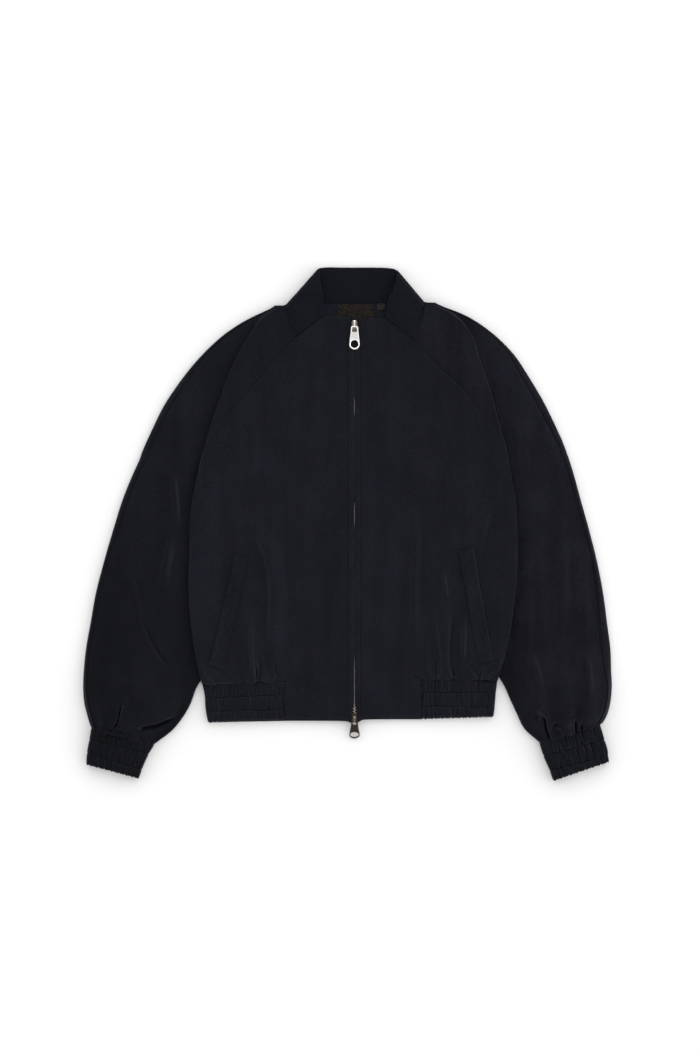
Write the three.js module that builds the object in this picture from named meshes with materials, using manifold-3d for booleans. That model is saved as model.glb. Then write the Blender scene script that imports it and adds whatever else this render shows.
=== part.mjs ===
// A bomber jacket laid flat on its back, front up, zipped, its sleeves drawn down beside the body.
// Millimetres, +Z up, +Y toward the collar, X = 0 on the zip, Y = 0 on the hem, before the last shift
// that puts the origin under the middle. Left and right are as seen from above.
import * as THREE from "three";
import { mergeVertices } from "three/addons/utils/BufferGeometryUtils.js";
import Module from "manifold-3d";

// ---- driving dimensions ----
const CLOTH = 1.2; // shell cloth
const BAND = 2.0; // elasticated hem casing, gathered
const CUFF = 2.6; // elasticated cuff casing, gathered
const COLLAR = 2.6; // two layers of ribbed twill
const GAP = 0.3; // clearance at every seam
const ROLL_GAP = 0.5; // clearance at the overarm seam, where the cloth leans over

// Heights of the middle of each layer above the floor.
const Z_FLOOR = CLOTH / 2;
const Z_STRIP = 2.6; // sleeve front where the body lies on it
const Z_FRONT = 5.2; // fronts beside the zip
const Z_SAG = 4.5; // fronts between zip and side
const Z_SEAM = 3.0; // overarm seam

const EDGE_ROLL = 1.4; // half the width of the side fold
const TUCK_ROLL = 0.9; // half the width of the fold inside the tuck
const SIDE_SLOPE = 17; // where the turned-under front leaves the sleeve
const SIDE_LAND = 22.5; // where it reaches the floor
const SIDE_SEAM = 25.5; // where it meets the back
const SLEEVE_TAIL = 7; // sleeve front turned under at the inner edge
const HEM_SPLIT = { left: 104.6, right: 100.6 }; // from the zip to the end of the elastic
const BAND_TAIL = 18; // hem band turned under at the side

const SEAM_LIP = 1.4; // room between the overarm seam and the roll of the sleeve back
const BAND_ROLL = 1.4; // half the width of the fold at the end of the hem band
const BAND_TILT = 3.2; // how much the band's lower edge slants
const TUCK_DEPTH = 2.8; // from the top of the long fold down to its turned-under layer
const TUCK_STEP = 1.8; // from there down to the covered strip
const COLLAR_ROLL = 0.7; // how much the folded collar bows up
const TRIM = 1; // facing, label, tab and pocket welt

const BAND_TOP = { left: 57.3, right: 59.7 };
const SIGN = { left: -1, right: 1 };

const INK = 0x121419;
const CLOTH_LOOK = { color: INK, roughness: 0.85, metalness: 0 };
const RIB_LOOK = { color: 0x101217, roughness: 0.9, metalness: 0 };
const LABEL_LOOK = { color: 0x2a2019, roughness: 0.9, metalness: 0 };
const TAB_LOOK = { color: 0x0c0d10, roughness: 0.8, metalness: 0 };
const TAPE_LOOK = { color: 0x15161a, roughness: 0.9, metalness: 0 };
const TEETH_LOOK = { color: 0x5a4636, roughness: 0.5, metalness: 0.6 };
const SILVER_LOOK = { color: 0xc4c4c2, roughness: 0.28, metalness: 1 };
const BRASS_LOOK = { color: 0x6b5a4c, roughness: 0.35, metalness: 1 };

const table = (names, rows) =>
  rows.map((row) => Object.fromEntries(names.map((name, i) => [name, row[i]])));

// ---- tables: distances from the zip line are positive on both sides ----

// Sleeve above the underarm, from the collar down: front raglan seam, the long fold, the outer edge,
// the back raglan seam. tuck is how far the fold lies over, fold how fully it is folded,
// inset how far the overarm seam lies inside the edge, puff how much the front stands up.
const UPPER = ["seamX", "seamY", "seamZ", "ridgeX", "ridgeY", "ridgeZ", "tuck", "fold",
  "edgeX", "edgeY", "inset", "puff", "backX", "backY"];
const UPPER_SLEEVE = {
  left: table(UPPER, [
    [103.4, 615.5, 4.6, 111, 617, 4.6, 4, 0, 124, 619.5, 3.5, 0.3, 77, 620],
    [95.3, 596.5, 4.9, 143, 600, 5.4, 4, 0.4, 161.5, 600, 4, 0.6, 89, 601],
    [87.4, 577, 5.0, 156, 581, 6.7, 4, 1, 191.6, 581, 4.5, 0.8, 101, 581],
    [106, 555, 5.0, 168, 561, 6.9, 5, 1, 215, 561, 5, 1.0, 113, 561],
    [135, 524, 5.0, 184, 530, 7.1, 7, 1, 245, 529, 6, 1.2, 132, 530],
    [156, 497, 5.0, 196, 499, 7.2, 9, 1, 267, 500, 9, 1.3, 149, 500],
    [171, 480, 5.1, 204, 476, 7.2, 11, 1, 286, 471, 10, 1.4, 165, 471],
    [188, 459, 5.4, 214, 448, 7.2, 13, 1, 301, 441, 9, 1.5, 181, 441],
    [209, 427, 6.2, 228, 400, 7.2, 15, 1, 320, 398, 8, 1.6, 202.6, 401.5],
  ]),
  right: table(UPPER, [
    [104.4, 617.5, 4.6, 112, 619.5, 4.6, 4, 0, 124, 624, 3.5, 0.3, 77, 621],
    [97.6, 600, 4.9, 152, 606, 5.2, 4, 0.4, 169.6, 605, 4, 0.6, 87, 606],
    [86.9, 574.5, 5.0, 177, 577, 6.7, 4, 1, 214, 574, 4, 0.8, 104, 577],
    [109, 549, 5.0, 185, 551, 6.9, 5, 1, 240, 547, 7, 1.0, 119, 551],
    [140, 518, 5.0, 196.5, 517, 7.1, 7, 1, 262.5, 513, 10, 1.2, 138, 517],
    [166, 494, 5.0, 206, 488, 7.2, 9, 1, 280, 484, 13, 1.3, 154, 488],
    [183, 471, 5.2, 213, 460, 7.2, 12, 1, 294, 457, 12, 1.5, 170, 460],
    [204, 444, 5.8, 222, 425, 7.2, 15, 1, 309, 425, 9, 1.6, 196.6, 426.8],
  ]),
};

// Sleeve below the underarm, down to the cuff: outer edge, inner edge and its height, where the body
// stops covering it, inset of the overarm seam, and puff.
const LOWER = ["edgeX", "edgeY", "innerX", "innerY", "innerZ", "coverX", "inset", "puff"];
const LOWER_SLEEVE = {
  left: table(LOWER, [
    [321, 394.5, 213, 395, 2.6, 229, 8, 1.6],
    [334, 365, 220.5, 365, 2.6, 236.5, 7, 1.8],
    [348, 330, 227, 330, 2.6, 243, 7, 2.0],
    [362, 285, 231, 285, 2.6, 247, 6, 2.2],
    [376, 237, 232, 237, 2.6, 248, 4.5, 2.4],
    [388, 190, 233, 190, 2.6, 249, 4, 2.6],
    [396, 145, 229, 145, 2.6, 245, 4, 3.0],
    [403, 105, 224, 104, 2.6, 240, 4, 4.5],
    [406, 75, 224, 72, 2.6, 236, 4, 7.5],
    [407, 48, 237, 48, 3.6, 248, 5, 10.5],
    [405, 24, 246, 24, 4.4, 256, 6, 12],
    [401, 8, 256, 6, 4.8, 266, 6, 11],
    [397.5, -4, 272, -14, 4.6, 282, 6, 8],
    [394, -12.5, 300, -36, 4.2, 310, 5, 4],
  ]),
  right: table(LOWER, [
    [311, 420.5, 206.5, 420.5, 2.6, 222.5, 8, 1.6],
    [323, 388, 214.5, 388, 2.6, 230.5, 7, 1.8],
    [339.5, 330, 225, 330, 2.6, 241, 7, 2.0],
    [352, 285, 228, 285, 2.6, 244, 6, 2.2],
    [364, 237, 228, 237, 2.6, 244, 6, 2.4],
    [373, 190, 225, 190, 2.6, 241, 8, 2.6],
    [379, 145, 219, 145, 2.6, 235, 11, 3.0],
    [384, 105, 213, 105, 2.6, 228, 12, 4.5],
    [385, 75, 212, 76, 2.6, 222, 9, 7.5],
    [386, 48, 226, 48, 3.6, 237, 6, 10.5],
    [383, 22, 236, 25, 4.4, 247, 6, 12],
    [379, 8, 244, 8, 4.8, 255, 6, 11],
    [373.5, -2, 254, -12, 4.6, 265, 6, 8],
    [368, -7, 278, -34, 4.2, 289, 5, 4],
  ]),
};

// Front panel: y at the zip, the outer edge with its height, and where the middle column runs.
const UPPER_FRONT_COLUMNS = ["y", "edgeX", "edgeY", "edgeZ", "midX"];
const UPPER_FRONT = {
  left: table(UPPER_FRONT_COLUMNS, [
    [604.5, 43.8, 608.3, 5.2, 22],
    [594, 63.5, 593, 5.2, 32],
    [584, 76, 583.5, 5.1, 40],
    [575.5, 86.6, 575.2, 5.0, 44],
    [555, 105.6, 554.8, 5.0, 52],
    [524, 134.6, 523.8, 5.0, 66],
    [497, 155.6, 496.8, 5.0, 78],
    [480, 170.6, 479.8, 5.1, 85],
    [459, 187.6, 458.8, 5.4, 94],
    [427, 208.6, 426.8, 6.2, 104],
  ]),
  right: table(UPPER_FRONT_COLUMNS, [
    [603.5, 45.8, 603.3, 5.2, 22],
    [594, 58, 594, 5.2, 30],
    [584, 71, 584, 5.1, 38],
    [574, 85.8, 573, 5.0, 44],
    [549, 108.6, 548.8, 5.0, 54],
    [518, 139.6, 517.8, 5.0, 68],
    [494, 165.6, 493.8, 5.0, 80],
    [471, 182.6, 470.8, 5.2, 92],
    [444, 203.6, 443.8, 5.8, 102],
  ]),
};

// Front panel below the underarm: the side fold, its height, and the middle column.
const LOWER_FRONT_COLUMNS = ["y", "ridgeX", "ridgeZ", "underZ", "midX"];
const LOWER_FRONT = {
  left: table(LOWER_FRONT_COLUMNS, [
    [399.4, 228.2, 7.4, 4.6, 110],
    [362, 237, 7.4, 4.6, 114],
    [319, 245, 7.4, 4.6, 118],
    [245, 248, 7.4, 4.6, 120],
    [198, 249, 7.4, 4.6, 120],
    [150, 246, 7.4, 4.6, 118],
    [112, 241, 7.4, 4.6, 114],
    [86, 237, 7.3, 4.6, 110],
    [68, 232.5, 7.1, 4.6, 106],
    [57.6, 229.5, 6.8, 4.4, 104.6],
  ]),
  right: table(LOWER_FRONT_COLUMNS, [
    [424.4, 222.2, 7.4, 4.6, 106],
    [380, 232, 7.4, 4.6, 112],
    [330, 241, 7.4, 4.6, 118],
    [270, 244.5, 7.4, 4.6, 120],
    [224, 244, 7.4, 4.6, 120],
    [171, 239, 7.4, 4.6, 118],
    [119, 231, 7.4, 4.6, 112],
    [90, 224, 7.3, 4.6, 108],
    [72, 218.5, 7.1, 4.6, 103.5],
    [60, 215, 6.8, 4.4, 100.6],
  ]),
};

// Plain hem between the zip and the elastic: height on the body at the zip end and at the elastic.
const HEM_ROWS = {
  left: table(["zipY", "splitY"], [[36, 36], [14, 14.5], [-3.6, -1]]),
  right: table(["zipY", "splitY"], [[38, 38], [15, 15], [-2.2, 1.3]]),
};

// Half the gap between the two front edges along the zip.
const PARTING = table(["y", "half"], [
  [640, 6.4], [583.5, 6.4], [575, 0.6], [492, 0.4], [470, 1.3], [447, 0.4], [342, 0.4],
  [308, 1.5], [274, 0.4], [127, 0.5], [66, 1.5], [24, 1.9], [13, 6.4], [-20, 6.4],
]);

// Elastic hem section at each side: the fold at the side by height.
const SIDE_BAND = {
  left: table(["y", "foldX"], [[57, 229], [38, 225], [17, 223.5], [-3.2, 220]]),
  right: table(["y", "foldX"], [[59.4, 214.5], [41, 212], [21, 210.5], [4.8, 208.5]]),
};

// Collar, from the front tip round to the middle of the back: seam edge, then free edge.
const COLLAR_COLUMNS = ["seamX", "seamY", "seamZ", "freeX", "freeY", "freeZ"];
const HALF_COLLAR = {
  left: table(COLLAR_COLUMNS, [
    [44.9, 609.6, 5.9, 44.2, 613, 6.0],
    [64.6, 594.4, 6.0, 47, 630, 6.9],
    [86.2, 578.4, 6.0, 50.4, 652, 7.3],
    [93.6, 597.4, 6.0, 52.2, 664, 7.3],
    [100.2, 615.2, 6.0, 51.6, 671.2, 6.6],
    [103.2, 618.6, 3.8, 53.6, 676.4, 4.0],
    [100.2, 624.4, 1.7, 49.8, 678, 1.7],
    [70, 624.4, 1.35, 36, 678.9, 1.35],
    [35, 624.4, 1.35, 18, 678.6, 1.35],
  ]),
  right: table(COLLAR_COLUMNS, [
    [47, 604.8, 5.9, 46.4, 608.5, 6.0],
    [64.4, 591.4, 6.0, 50, 628, 6.9],
    [85.6, 576, 6.0, 56.5, 643, 7.3],
    [94.4, 597.4, 6.0, 61.5, 657, 7.3],
    [100.6, 614.6, 6.0, 64, 667.4, 6.6],
    [103, 618.6, 3.8, 64.6, 672.2, 4.0],
    [100.2, 624.4, 1.7, 57.5, 677, 1.7],
    [70, 624.4, 1.35, 36, 678.5, 1.35],
    [35, 624.4, 1.35, 18, 678.6, 1.35],
  ]),
};

// Cuff corners: along the seam with the sleeve, then at the open end.
const CUFF_COLUMNS = ["outX", "outY", "inX", "inY"];
const CUFF_ROWS = {
  left: table(CUFF_COLUMNS, [
    [395, -13.4, 300.5, -37.2], [397.6, -30, 309, -52], [401, -48, 317, -70], [402, -66.5, 323.5, -87.5],
  ]),
  right: table(CUFF_COLUMNS, [
    [368.6, -8, 277.5, -35.4], [373.6, -25, 283, -53], [379, -43, 290.7, -71], [381.5, -62.5, 298, -91],
  ]),
};
const CUFF_HEIGHT = 8.6;

// What lies flat on the inside of the back neck.
const FACING_OUTLINE = [
  [-62, 623.9], [-66, 598], [-15, 596], [-15, 600.6], [15, 600.6], [15, 596], [66, 597], [62, 623.9],
];
const LABEL = { x0: -24, x1: 29, y0: 600.8, y1: 623.6 };
const SIZE_TAB = { x0: 34, x1: 45, y0: 614.5, y1: 623.8 };

// Pocket welts: the outer and inner long edges, from the top corner down.
const WELT_COLUMNS = ["outX", "outY", "inX", "inY"];
const WELT_ENDS = {
  left: table(WELT_COLUMNS, [[178, 250, 160, 243], [217, 84, 196, 76]]),
  right: table(WELT_COLUMNS, [[178, 257, 156, 253], [207, 91, 186, 87]]),
};

// The largest soft folds: a ridge or trough along a line, its half width and height.
const FOLD_COLUMNS = ["x0", "y0", "x1", "y1", "width", "height"];
const SLEEVE_FOLDS = {
  left: table(FOLD_COLUMNS, [
    [343, -24, 292, 4, 22, 3.0],
    [292, 4, 254, 26, 22, 2.4],
    [347, 40, 356, -4, 18, -3.0],
    [385, 90, 372, 20, 24, 1.6],
    [312, 130, 268, 60, 26, 1.2],
  ]),
  right: table(FOLD_COLUMNS, [
    [259, 115, 287, 15, 24, 2.0],
    [287, 15, 295, -20, 18, 2.4],
    [318, 40, 322, -6, 18, -3.0],
    [350, 90, 348, 10, 24, 1.6],
  ]),
};
const FRONT_FOLDS = {
  left: table(FOLD_COLUMNS, [
    [143, 265, 128, 192, 22, 0.8],
    [128, 192, 131, 80, 22, 1.0],
    [154, 204, 151, 66, 18, -0.8],
  ]),
  right: table(FOLD_COLUMNS, [
    [155, 201, 142, 123, 22, 0.8],
    [142, 123, 146, 72, 22, 1.0],
    [86, 168, 96, 98, 22, -0.8],
  ]),
};

// Zip, along Y: the tapes and the chain lie under the front edges, a slider at each end.
const TAPE = { inner: 3.1, outer: 14, low: 4, high: 600, z0: 2.6, z1: 3.6 };
const CHAIN = { half: 2.8, low: 4.2, high: 591, z0: 2.5, z1: 4.3 };
const PLATE = {
  half: 5.6, waist: 4.2, length: 15, corner: 2, z0: 4.6, z1: 5.8, under0: 1.5, under1: 2.2,
};
const WEDGE = { half: 1.6, length: 4 }; // joins the two plates of a slider
const BRIDGE = { half: 1.2, length: 9, z1: 9.8, thick: 1.0 };
const PIVOT_Z = 7.4;
const PIN = 0.75; // half the thickness of the bar that turns under the bridge
const UPPER_ZIP = { y: 592, toward: 1, pivotY: 590, bridgeY: 592 };
const LOWER_ZIP = { y: 3.5, toward: -1, pivotY: -1.4, bridgeY: 0.6 };
const EYE = { half: 2.2, rim: 1.6, shoulder: 2 }; // slot of a pull, which goes round the bridge
const UPPER_PULL = { length: 36, neck: 5, wide: 8, thick: 1.5, hole: 5.6, holeAt: 26.2, eye: 8 };
const LOWER_PULL = { length: 27, neck: 4.2, wide: 7.2, thick: 1.5, hole: 4.6, holeAt: 19.8, eye: 6.6 };
const LOWER_DROOP = 0.236; // the lower pull hangs off the hem and its end rests on the floor

// ---- helpers ----
const wasm = await Module();
wasm.setup();

const smooth = (a, b, t) => {
  const k = Math.min(1, Math.max(0, (t - a) / (b - a)));
  return k * k * (3 - 2 * k);
};
const mix = (a, b, t) => a + (b - a) * t;
const at = (x, y, z) => new THREE.Vector3(x, y, z);

function lookUp(rows, key, y) {
  const high = Math.max(1, rows.findIndex((row) => row.y <= y));
  const [a, b] = [rows[high - 1], rows[high]];
  return mix(a[key], b[key], Math.min(1, Math.max(0, (a.y - y) / (a.y - b.y))));
}

// Height added by the soft folds at a point.
function lift(folds, x, y) {
  return folds.reduce((sum, f) => {
    const along = at(f.x1 - f.x0, f.y1 - f.y0, 0);
    const from = at(x - f.x0, y - f.y0, 0);
    const t = THREE.MathUtils.clamp(from.dot(along) / along.lengthSq(), 0, 1);
    const far = from.distanceTo(along.multiplyScalar(t)) / f.width;
    return sum + (far < 1 ? f.height * (1 - far * far) ** 2 : 0);
  }, 0);
}

function geometryOf(points, faces) {
  const g = new THREE.BufferGeometry();
  g.setAttribute("position", new THREE.Float32BufferAttribute(points.flatMap((p) => p.toArray()), 3));
  g.setIndex(faces.flat());
  return g;
}

const SINK = 0.2; // how far joined parts of one solid reach into each other
const SHARPEST = 0.62; // limit on how far the wall moves out at a sharp fold

// Cloth of one thickness over rows of middle points. holds(i, j) says whether the cell between
// rows i, i + 1 and columns j, j + 1 is cloth. loop joins the last column to the first.
function cloth(rows, wall, { holds = () => true, loop = false } = {}) {
  const [high, wide] = [rows.length, rows[0].length];
  const cells = [];
  for (let i = 0; i < high - 1; i++)
    for (let j = 0; j < (loop ? wide : wide - 1); j++) if (holds(i, j)) cells.push([i, j]);
  const corners = ([i, j]) => {
    const k = (j + 1) % wide;
    return [i * wide + j, i * wide + k, (i + 1) * wide + k, (i + 1) * wide + j];
  };
  const mid = rows.flat();
  const normals = mid.map(() => []);
  for (const cell of cells) {
    const [a, b, c, d] = corners(cell);
    const n = mid[c].clone().sub(mid[a]).cross(mid[d].clone().sub(mid[b])).normalize();
    for (const v of [a, b, c, d]) normals[v].push(n);
  }
  const points = [];
  const index = mid.map((p, v) => {
    if (!normals[v].length) return -1;
    const n = normals[v].reduce((s, m) => s.add(m), at(0, 0, 0)).normalize();
    const spread = Math.max(SHARPEST, Math.min(...normals[v].map((m) => m.dot(n))));
    const half = n.multiplyScalar(wall / 2 / spread);
    for (const q of [p.clone().add(half), p.clone().sub(half)]) points.push(at(q.x, q.y, Math.max(0, q.z)));
    return points.length - 2;
  });
  const faces = [];
  const edges = new Map();
  for (const cell of cells) {
    const [a, b, c, d] = corners(cell).map((v) => index[v]);
    faces.push([a, b, c], [a, c, d], [a + 1, c + 1, b + 1], [a + 1, d + 1, c + 1]);
    for (const [p, q] of [[a, b], [b, c], [c, d], [d, a]]) {
      if (!edges.delete(q + "," + p)) edges.set(p + "," + q, [p, q]);
    }
  }
  for (const [p, q] of edges.values()) faces.push([q, p, p + 1], [q, p + 1, q + 1]);
  return geometryOf(points, faces);
}

function solid(geometry) {
  const g = geometry.clone();
  g.deleteAttribute("normal");
  g.deleteAttribute("uv");
  const merged = mergeVertices(g.index ? g.toNonIndexed() : g, 1e-4);
  return new wasm.Manifold(new wasm.Mesh({
    numProp: 3,
    vertProperties: merged.attributes.position.array,
    triVerts: new Uint32Array(merged.index.array),
  }));
}

function geometryFrom(body) {
  const mesh = body.getMesh();
  const g = new THREE.BufferGeometry();
  g.setAttribute("position", new THREE.BufferAttribute(mesh.vertProperties.slice(), 3));
  g.setIndex(new THREE.BufferAttribute(mesh.triVerts.slice(), 1));
  return g;
}

// A flat plate with the given outline, from z0 to z1.
function plate(outline, z0, z1, holes = []) {
  const shape = new THREE.Shape(outline.map(([x, y]) => new THREE.Vector2(x, y)));
  shape.holes = holes;
  const g = new THREE.ExtrudeGeometry(shape, { depth: z1 - z0, bevelEnabled: false, curveSegments: 12 });
  return g.translate(0, 0, z0);
}

function block(x0, x1, y0, y1, z0, z1) {
  return new THREE.BoxGeometry(x1 - x0, y1 - y0, z1 - z0)
    .translate((x0 + x1) / 2, (y0 + y1) / 2, (z0 + z1) / 2);
}

const union = (parts) => geometryFrom(parts.map(solid).reduce((a, b) => a.add(b)));

// Cloth drawn on the positive side, mirrored to its own side.
function onSide(side, rows, wall, options) {
  const placed = rows.map((row) => row.map((p) => at(SIGN[side] * p.x, p.y, p.z)));
  return cloth(placed, wall, options);
}

// ---- sleeves ----
const FOLD_STEPS = 6; // points of the long fold
const TOP_SPLIT = [0, 0.35, 0.7]; // points between the raglan seam and the fold
const RUN_SPLIT = [0, 0.12, 0.32, 0.55, 0.78, 1]; // points from the cover out to the overarm seam
const RUN_IN = 2; // the run starts this far under the body or the fold
const DOME = { start: 0.1, span: 0.86, power: 0.8, ends: 0.2 }; // shape of the standing front
const UNFOLDED = [[-4, 0.1], [-2, 0.1], [0, 0], [2, -0.2], [4, -0.4], [6, -0.6]]; // fold laid open

const seamHeight = (row) => Z_SEAM + 0.3 * row.puff;
const edgeOf = (row) => at(row.edgeX, row.edgeY, 0);

// The point that lies so many millimetres from one point toward another, seen from above.
function from(start, toward, mm) {
  const way = at(toward.x - start.x, toward.y - start.y, 0).setLength(mm);
  return at(start.x + way.x, start.y + way.y, 0);
}

const raised = (p, z) => at(p.x, p.y, z);

// The overarm seam, seen from above, moved in from the edge by some clearance.
function overarm(row, clear) {
  const inside = row.ridgeX ? at(row.ridgeX, row.ridgeY, 0) : at(row.innerX, row.innerY, 0);
  return from(edgeOf(row), inside, row.inset + clear);
}

// Sleeve front from the covered strip out to the overarm seam.
function outerRun(side, row, start) {
  const seam = overarm(row, ROLL_GAP);
  return RUN_SPLIT.map((t) => {
    const [x, y] = [mix(start.x, seam.x, t), mix(start.y, seam.y, t)];
    if (t === 0) return start;
    if (t === 1) return at(x, y, seamHeight(row));
    const dome = row.puff * Math.sin(Math.PI * (DOME.start + DOME.span * t)) ** DOME.power;
    const fade = smooth(0, DOME.ends, t) * smooth(1, 1 - DOME.ends, t);
    const z = mix(start.z, seamHeight(row), t) + dome + fade * lift(SLEEVE_FOLDS[side], x, y);
    return at(x, y, Math.max(Z_STRIP, z));
  });
}

// The long fold at one row: over the edge, back under, and over the inner turn.
function foldPoints(row) {
  const under = row.ridgeZ - TUCK_DEPTH;
  const strip = Math.min(Z_STRIP, under - TUCK_STEP);
  const folded = [
    [-EDGE_ROLL, row.ridgeZ], [-CLOTH / 2, (row.ridgeZ + under) / 2], [-EDGE_ROLL, under],
    [TUCK_ROLL - row.tuck, under], [-row.tuck, (under + strip) / 2], [TUCK_ROLL - row.tuck, strip],
  ];
  return folded.map(([u, z], k) => {
    const [v, h] = UNFOLDED[k];
    return at(row.ridgeX + mix(v, u, row.fold), row.ridgeY, mix(row.ridgeZ + h, z, row.fold));
  });
}

function upperSleeveRow(side, row) {
  const fold = foldPoints(row);
  const start = at(row.seamX + GAP, row.seamY + GAP, row.seamZ);
  const top = TOP_SPLIT.map((t) => {
    const p = start.clone().lerp(fold[0], t);
    p.z = mix(start.z, fold[0].z, smooth(0, 1, t));
    return p;
  });
  const inner = fold[FOLD_STEPS - 1];
  const run = at(Math.max(row.ridgeX - RUN_IN, inner.x + RUN_IN), row.ridgeY, inner.z);
  return [...top, ...fold, ...outerRun(side, row, run)];
}

function lowerSleeveRow(side, row) {
  const inner = at(row.innerX, row.innerY, 0);
  const way = (mm) => from(inner, edgeOf(row), mm);
  const turn = (row.innerZ - Z_FLOOR) / 2;
  const edge = [
    raised(way(CLOTH / 2 + SLEEVE_TAIL), Z_FLOOR),
    raised(way(CLOTH / 2), Z_FLOOR + turn),
    raised(way(CLOTH / 2 + turn), row.innerZ),
  ];
  const spare = Array(TOP_SPLIT.length + FOLD_STEPS - 3).fill(edge[0]);
  const cover = raised(way(row.coverX - row.innerX - RUN_IN), row.innerZ);
  return [...spare, ...edge, ...outerRun(side, row, cover)];
}

function sleeveFront(side) {
  const upper = UPPER_SLEEVE[side].map((row) => upperSleeveRow(side, row));
  const lower = LOWER_SLEEVE[side].map((row) => lowerSleeveRow(side, row));
  const turn = TOP_SPLIT.length + FOLD_STEPS - 2;
  const holds = (i, j) =>
    i < upper.length - 1 || (i === upper.length - 1 ? j >= turn : j >= turn - 1);
  return onSide(side, [...upper, ...lower], CLOTH, { holds });
}

// Sleeve back: flat on the floor, rolled up round the outer edge to the overarm seam.
function sleeveBack(side) {
  const rows = [...UPPER_SLEEVE[side], ...LOWER_SLEEVE[side]].map((row) => {
    const inner = row.backX
      ? at(row.backX, row.backY, 0)
      : from(at(row.innerX, row.innerY, 0), edgeOf(row), CLOTH / 2 + SLEEVE_TAIL + GAP);
    const top = seamHeight(row);
    const turn = (top - Z_FLOOR) / 2;
    const inward = (mm) => from(edgeOf(row), inner, mm);
    const landing = raised(inward(CLOTH / 2 + turn), Z_FLOOR);
    const floor = [0, 0.4, 0.8, 1].map((t) => raised(inner, Z_FLOOR).lerp(landing, t));
    return [
      ...floor,
      raised(inward(CLOTH / 2), Z_FLOOR + turn),
      raised(inward(Math.min(CLOTH / 2 + turn, row.inset - SEAM_LIP)), top - 0.2),
      raised(overarm(row, 0), top),
    ];
  });
  return onSide(side, rows, CLOTH);
}

// ---- body ----
const NEAR_SPLIT = [0, 0.1, 0.4, 0.7, 1]; // columns from the zip to the middle column
const FAR_SPLIT = [0.3, 0.6, 0.84, 1]; // columns from there to the side

function panelPoints(side, y, edge, midX) {
  const zipX = lookUp(PARTING, "half", y);
  const xs = [...NEAR_SPLIT.map((t) => mix(zipX, midX, t)), ...FAR_SPLIT.map((t) => mix(midX, edge.x, t))];
  return xs.map((x) => {
    const t = x / edge.x;
    const sag = mix(mix(Z_FRONT, Z_SAG, smooth(0.03, 0.4, t)), edge.z, smooth(0.72, 1, t));
    const fold = smooth(1, 0.9, t) * smooth(0, 0.15, t) * lift(FRONT_FOLDS[side], x, y);
    const z = Math.abs(x - edge.x) < 0.01 ? edge.z : sag + fold;
    return at(x, mix(y, edge.y, smooth(0, 1, t)), z);
  });
}

function sideFold(row) {
  return [
    [-CLOTH / 2, row.y, (row.ridgeZ + row.underZ) / 2], [-EDGE_ROLL, row.y, row.underZ],
    [-SIDE_SLOPE, row.y, row.underZ], [-SIDE_LAND, row.y, Z_FLOOR], [-SIDE_SEAM, row.y, Z_FLOOR],
  ].map(([u, y, z]) => at(row.ridgeX + u, y, z));
}

const FRONT_COLUMNS = NEAR_SPLIT.length + FAR_SPLIT.length;

function frontRows(side) {
  const upper = UPPER_FRONT[side].map((row) =>
    panelPoints(side, row.y, at(row.edgeX, row.edgeY, row.edgeZ), row.midX));
  const lower = LOWER_FRONT[side].map((row) =>
    panelPoints(side, row.y, at(row.ridgeX - EDGE_ROLL, row.y, row.ridgeZ), row.midX));
  const last = lower[lower.length - 1];
  const hem = HEM_ROWS[side].map((row) => last.map((p, j) => {
    const zipX = lookUp(PARTING, "half", row.zipY);
    const t = NEAR_SPLIT[j] ?? 1;
    return at(mix(zipX, HEM_SPLIT[side], t), mix(row.zipY, row.splitY, smooth(0, 0.15, t)), p.z);
  }));
  return { upper, lower, hem };
}

function front(side) {
  const { upper, lower, hem } = frontRows(side);
  const folds = LOWER_FRONT[side].map(sideFold);
  const spare = folds[0].map(() => at(0, 0, 0));
  const rows = [
    ...upper.map((row) => [...row, ...spare]),
    ...lower.map((row, i) => [...row, ...folds[i]]),
    ...hem.map((row) => [...row, ...spare]),
  ];
  const bandRow = upper.length + lower.length - 1;
  const holds = (i, j) => {
    if (i < upper.length) return j < FRONT_COLUMNS - 1;
    return i < bandRow || j < NEAR_SPLIT.length - 1;
  };
  return onSide(side, rows, CLOTH, { holds });
}

// Height of the middle of the front panel over a point, from its own points.
function panelHeight(rows, x, y) {
  for (let i = 0; i < rows.length - 1; i++)
    for (let j = 0; j < rows[0].length - 1; j++) {
      const [a, b, c, d] = [rows[i][j], rows[i][j + 1], rows[i + 1][j + 1], rows[i + 1][j]];
      for (const corners of [[a, b, c], [a, c, d]]) {
        const [p, q, r] = corners.map((v) => at(v.x, v.y, 0));
        const bary = new THREE.Triangle(p, q, r).getBarycoord(at(x, y, 0), at(0, 0, 0));
        if (bary && Math.min(bary.x, bary.y, bary.z) > -1e-6)
          return bary.x * corners[0].z + bary.y * corners[1].z + bary.z * corners[2].z;
      }
    }
  throw new Error("no panel under " + x + ", " + y);
}

const WELT_STEPS = 10;
const WELT_CLEAR = 0.15; // extra clearance over the facets of the front

function pocketWelt(side) {
  const { upper, lower } = frontRows(side);
  const panel = [...upper, ...lower];
  const [top, bottom] = WELT_ENDS[side];
  const raise = CLOTH / 2 + GAP + TRIM / 2 + WELT_CLEAR;
  const rows = Array.from({ length: WELT_STEPS + 1 }, (_, i) => {
    const t = i / WELT_STEPS;
    return [0, 0.5, 1].map((s) => {
      const x = mix(mix(top.inX, bottom.inX, t), mix(top.outX, bottom.outX, t), s);
      const y = mix(mix(top.inY, bottom.inY, t), mix(top.outY, bottom.outY, t), s);
      return at(x, y, panelHeight(panel, x, y) + raise);
    });
  });
  return onSide(side, rows, TRIM);
}

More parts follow.
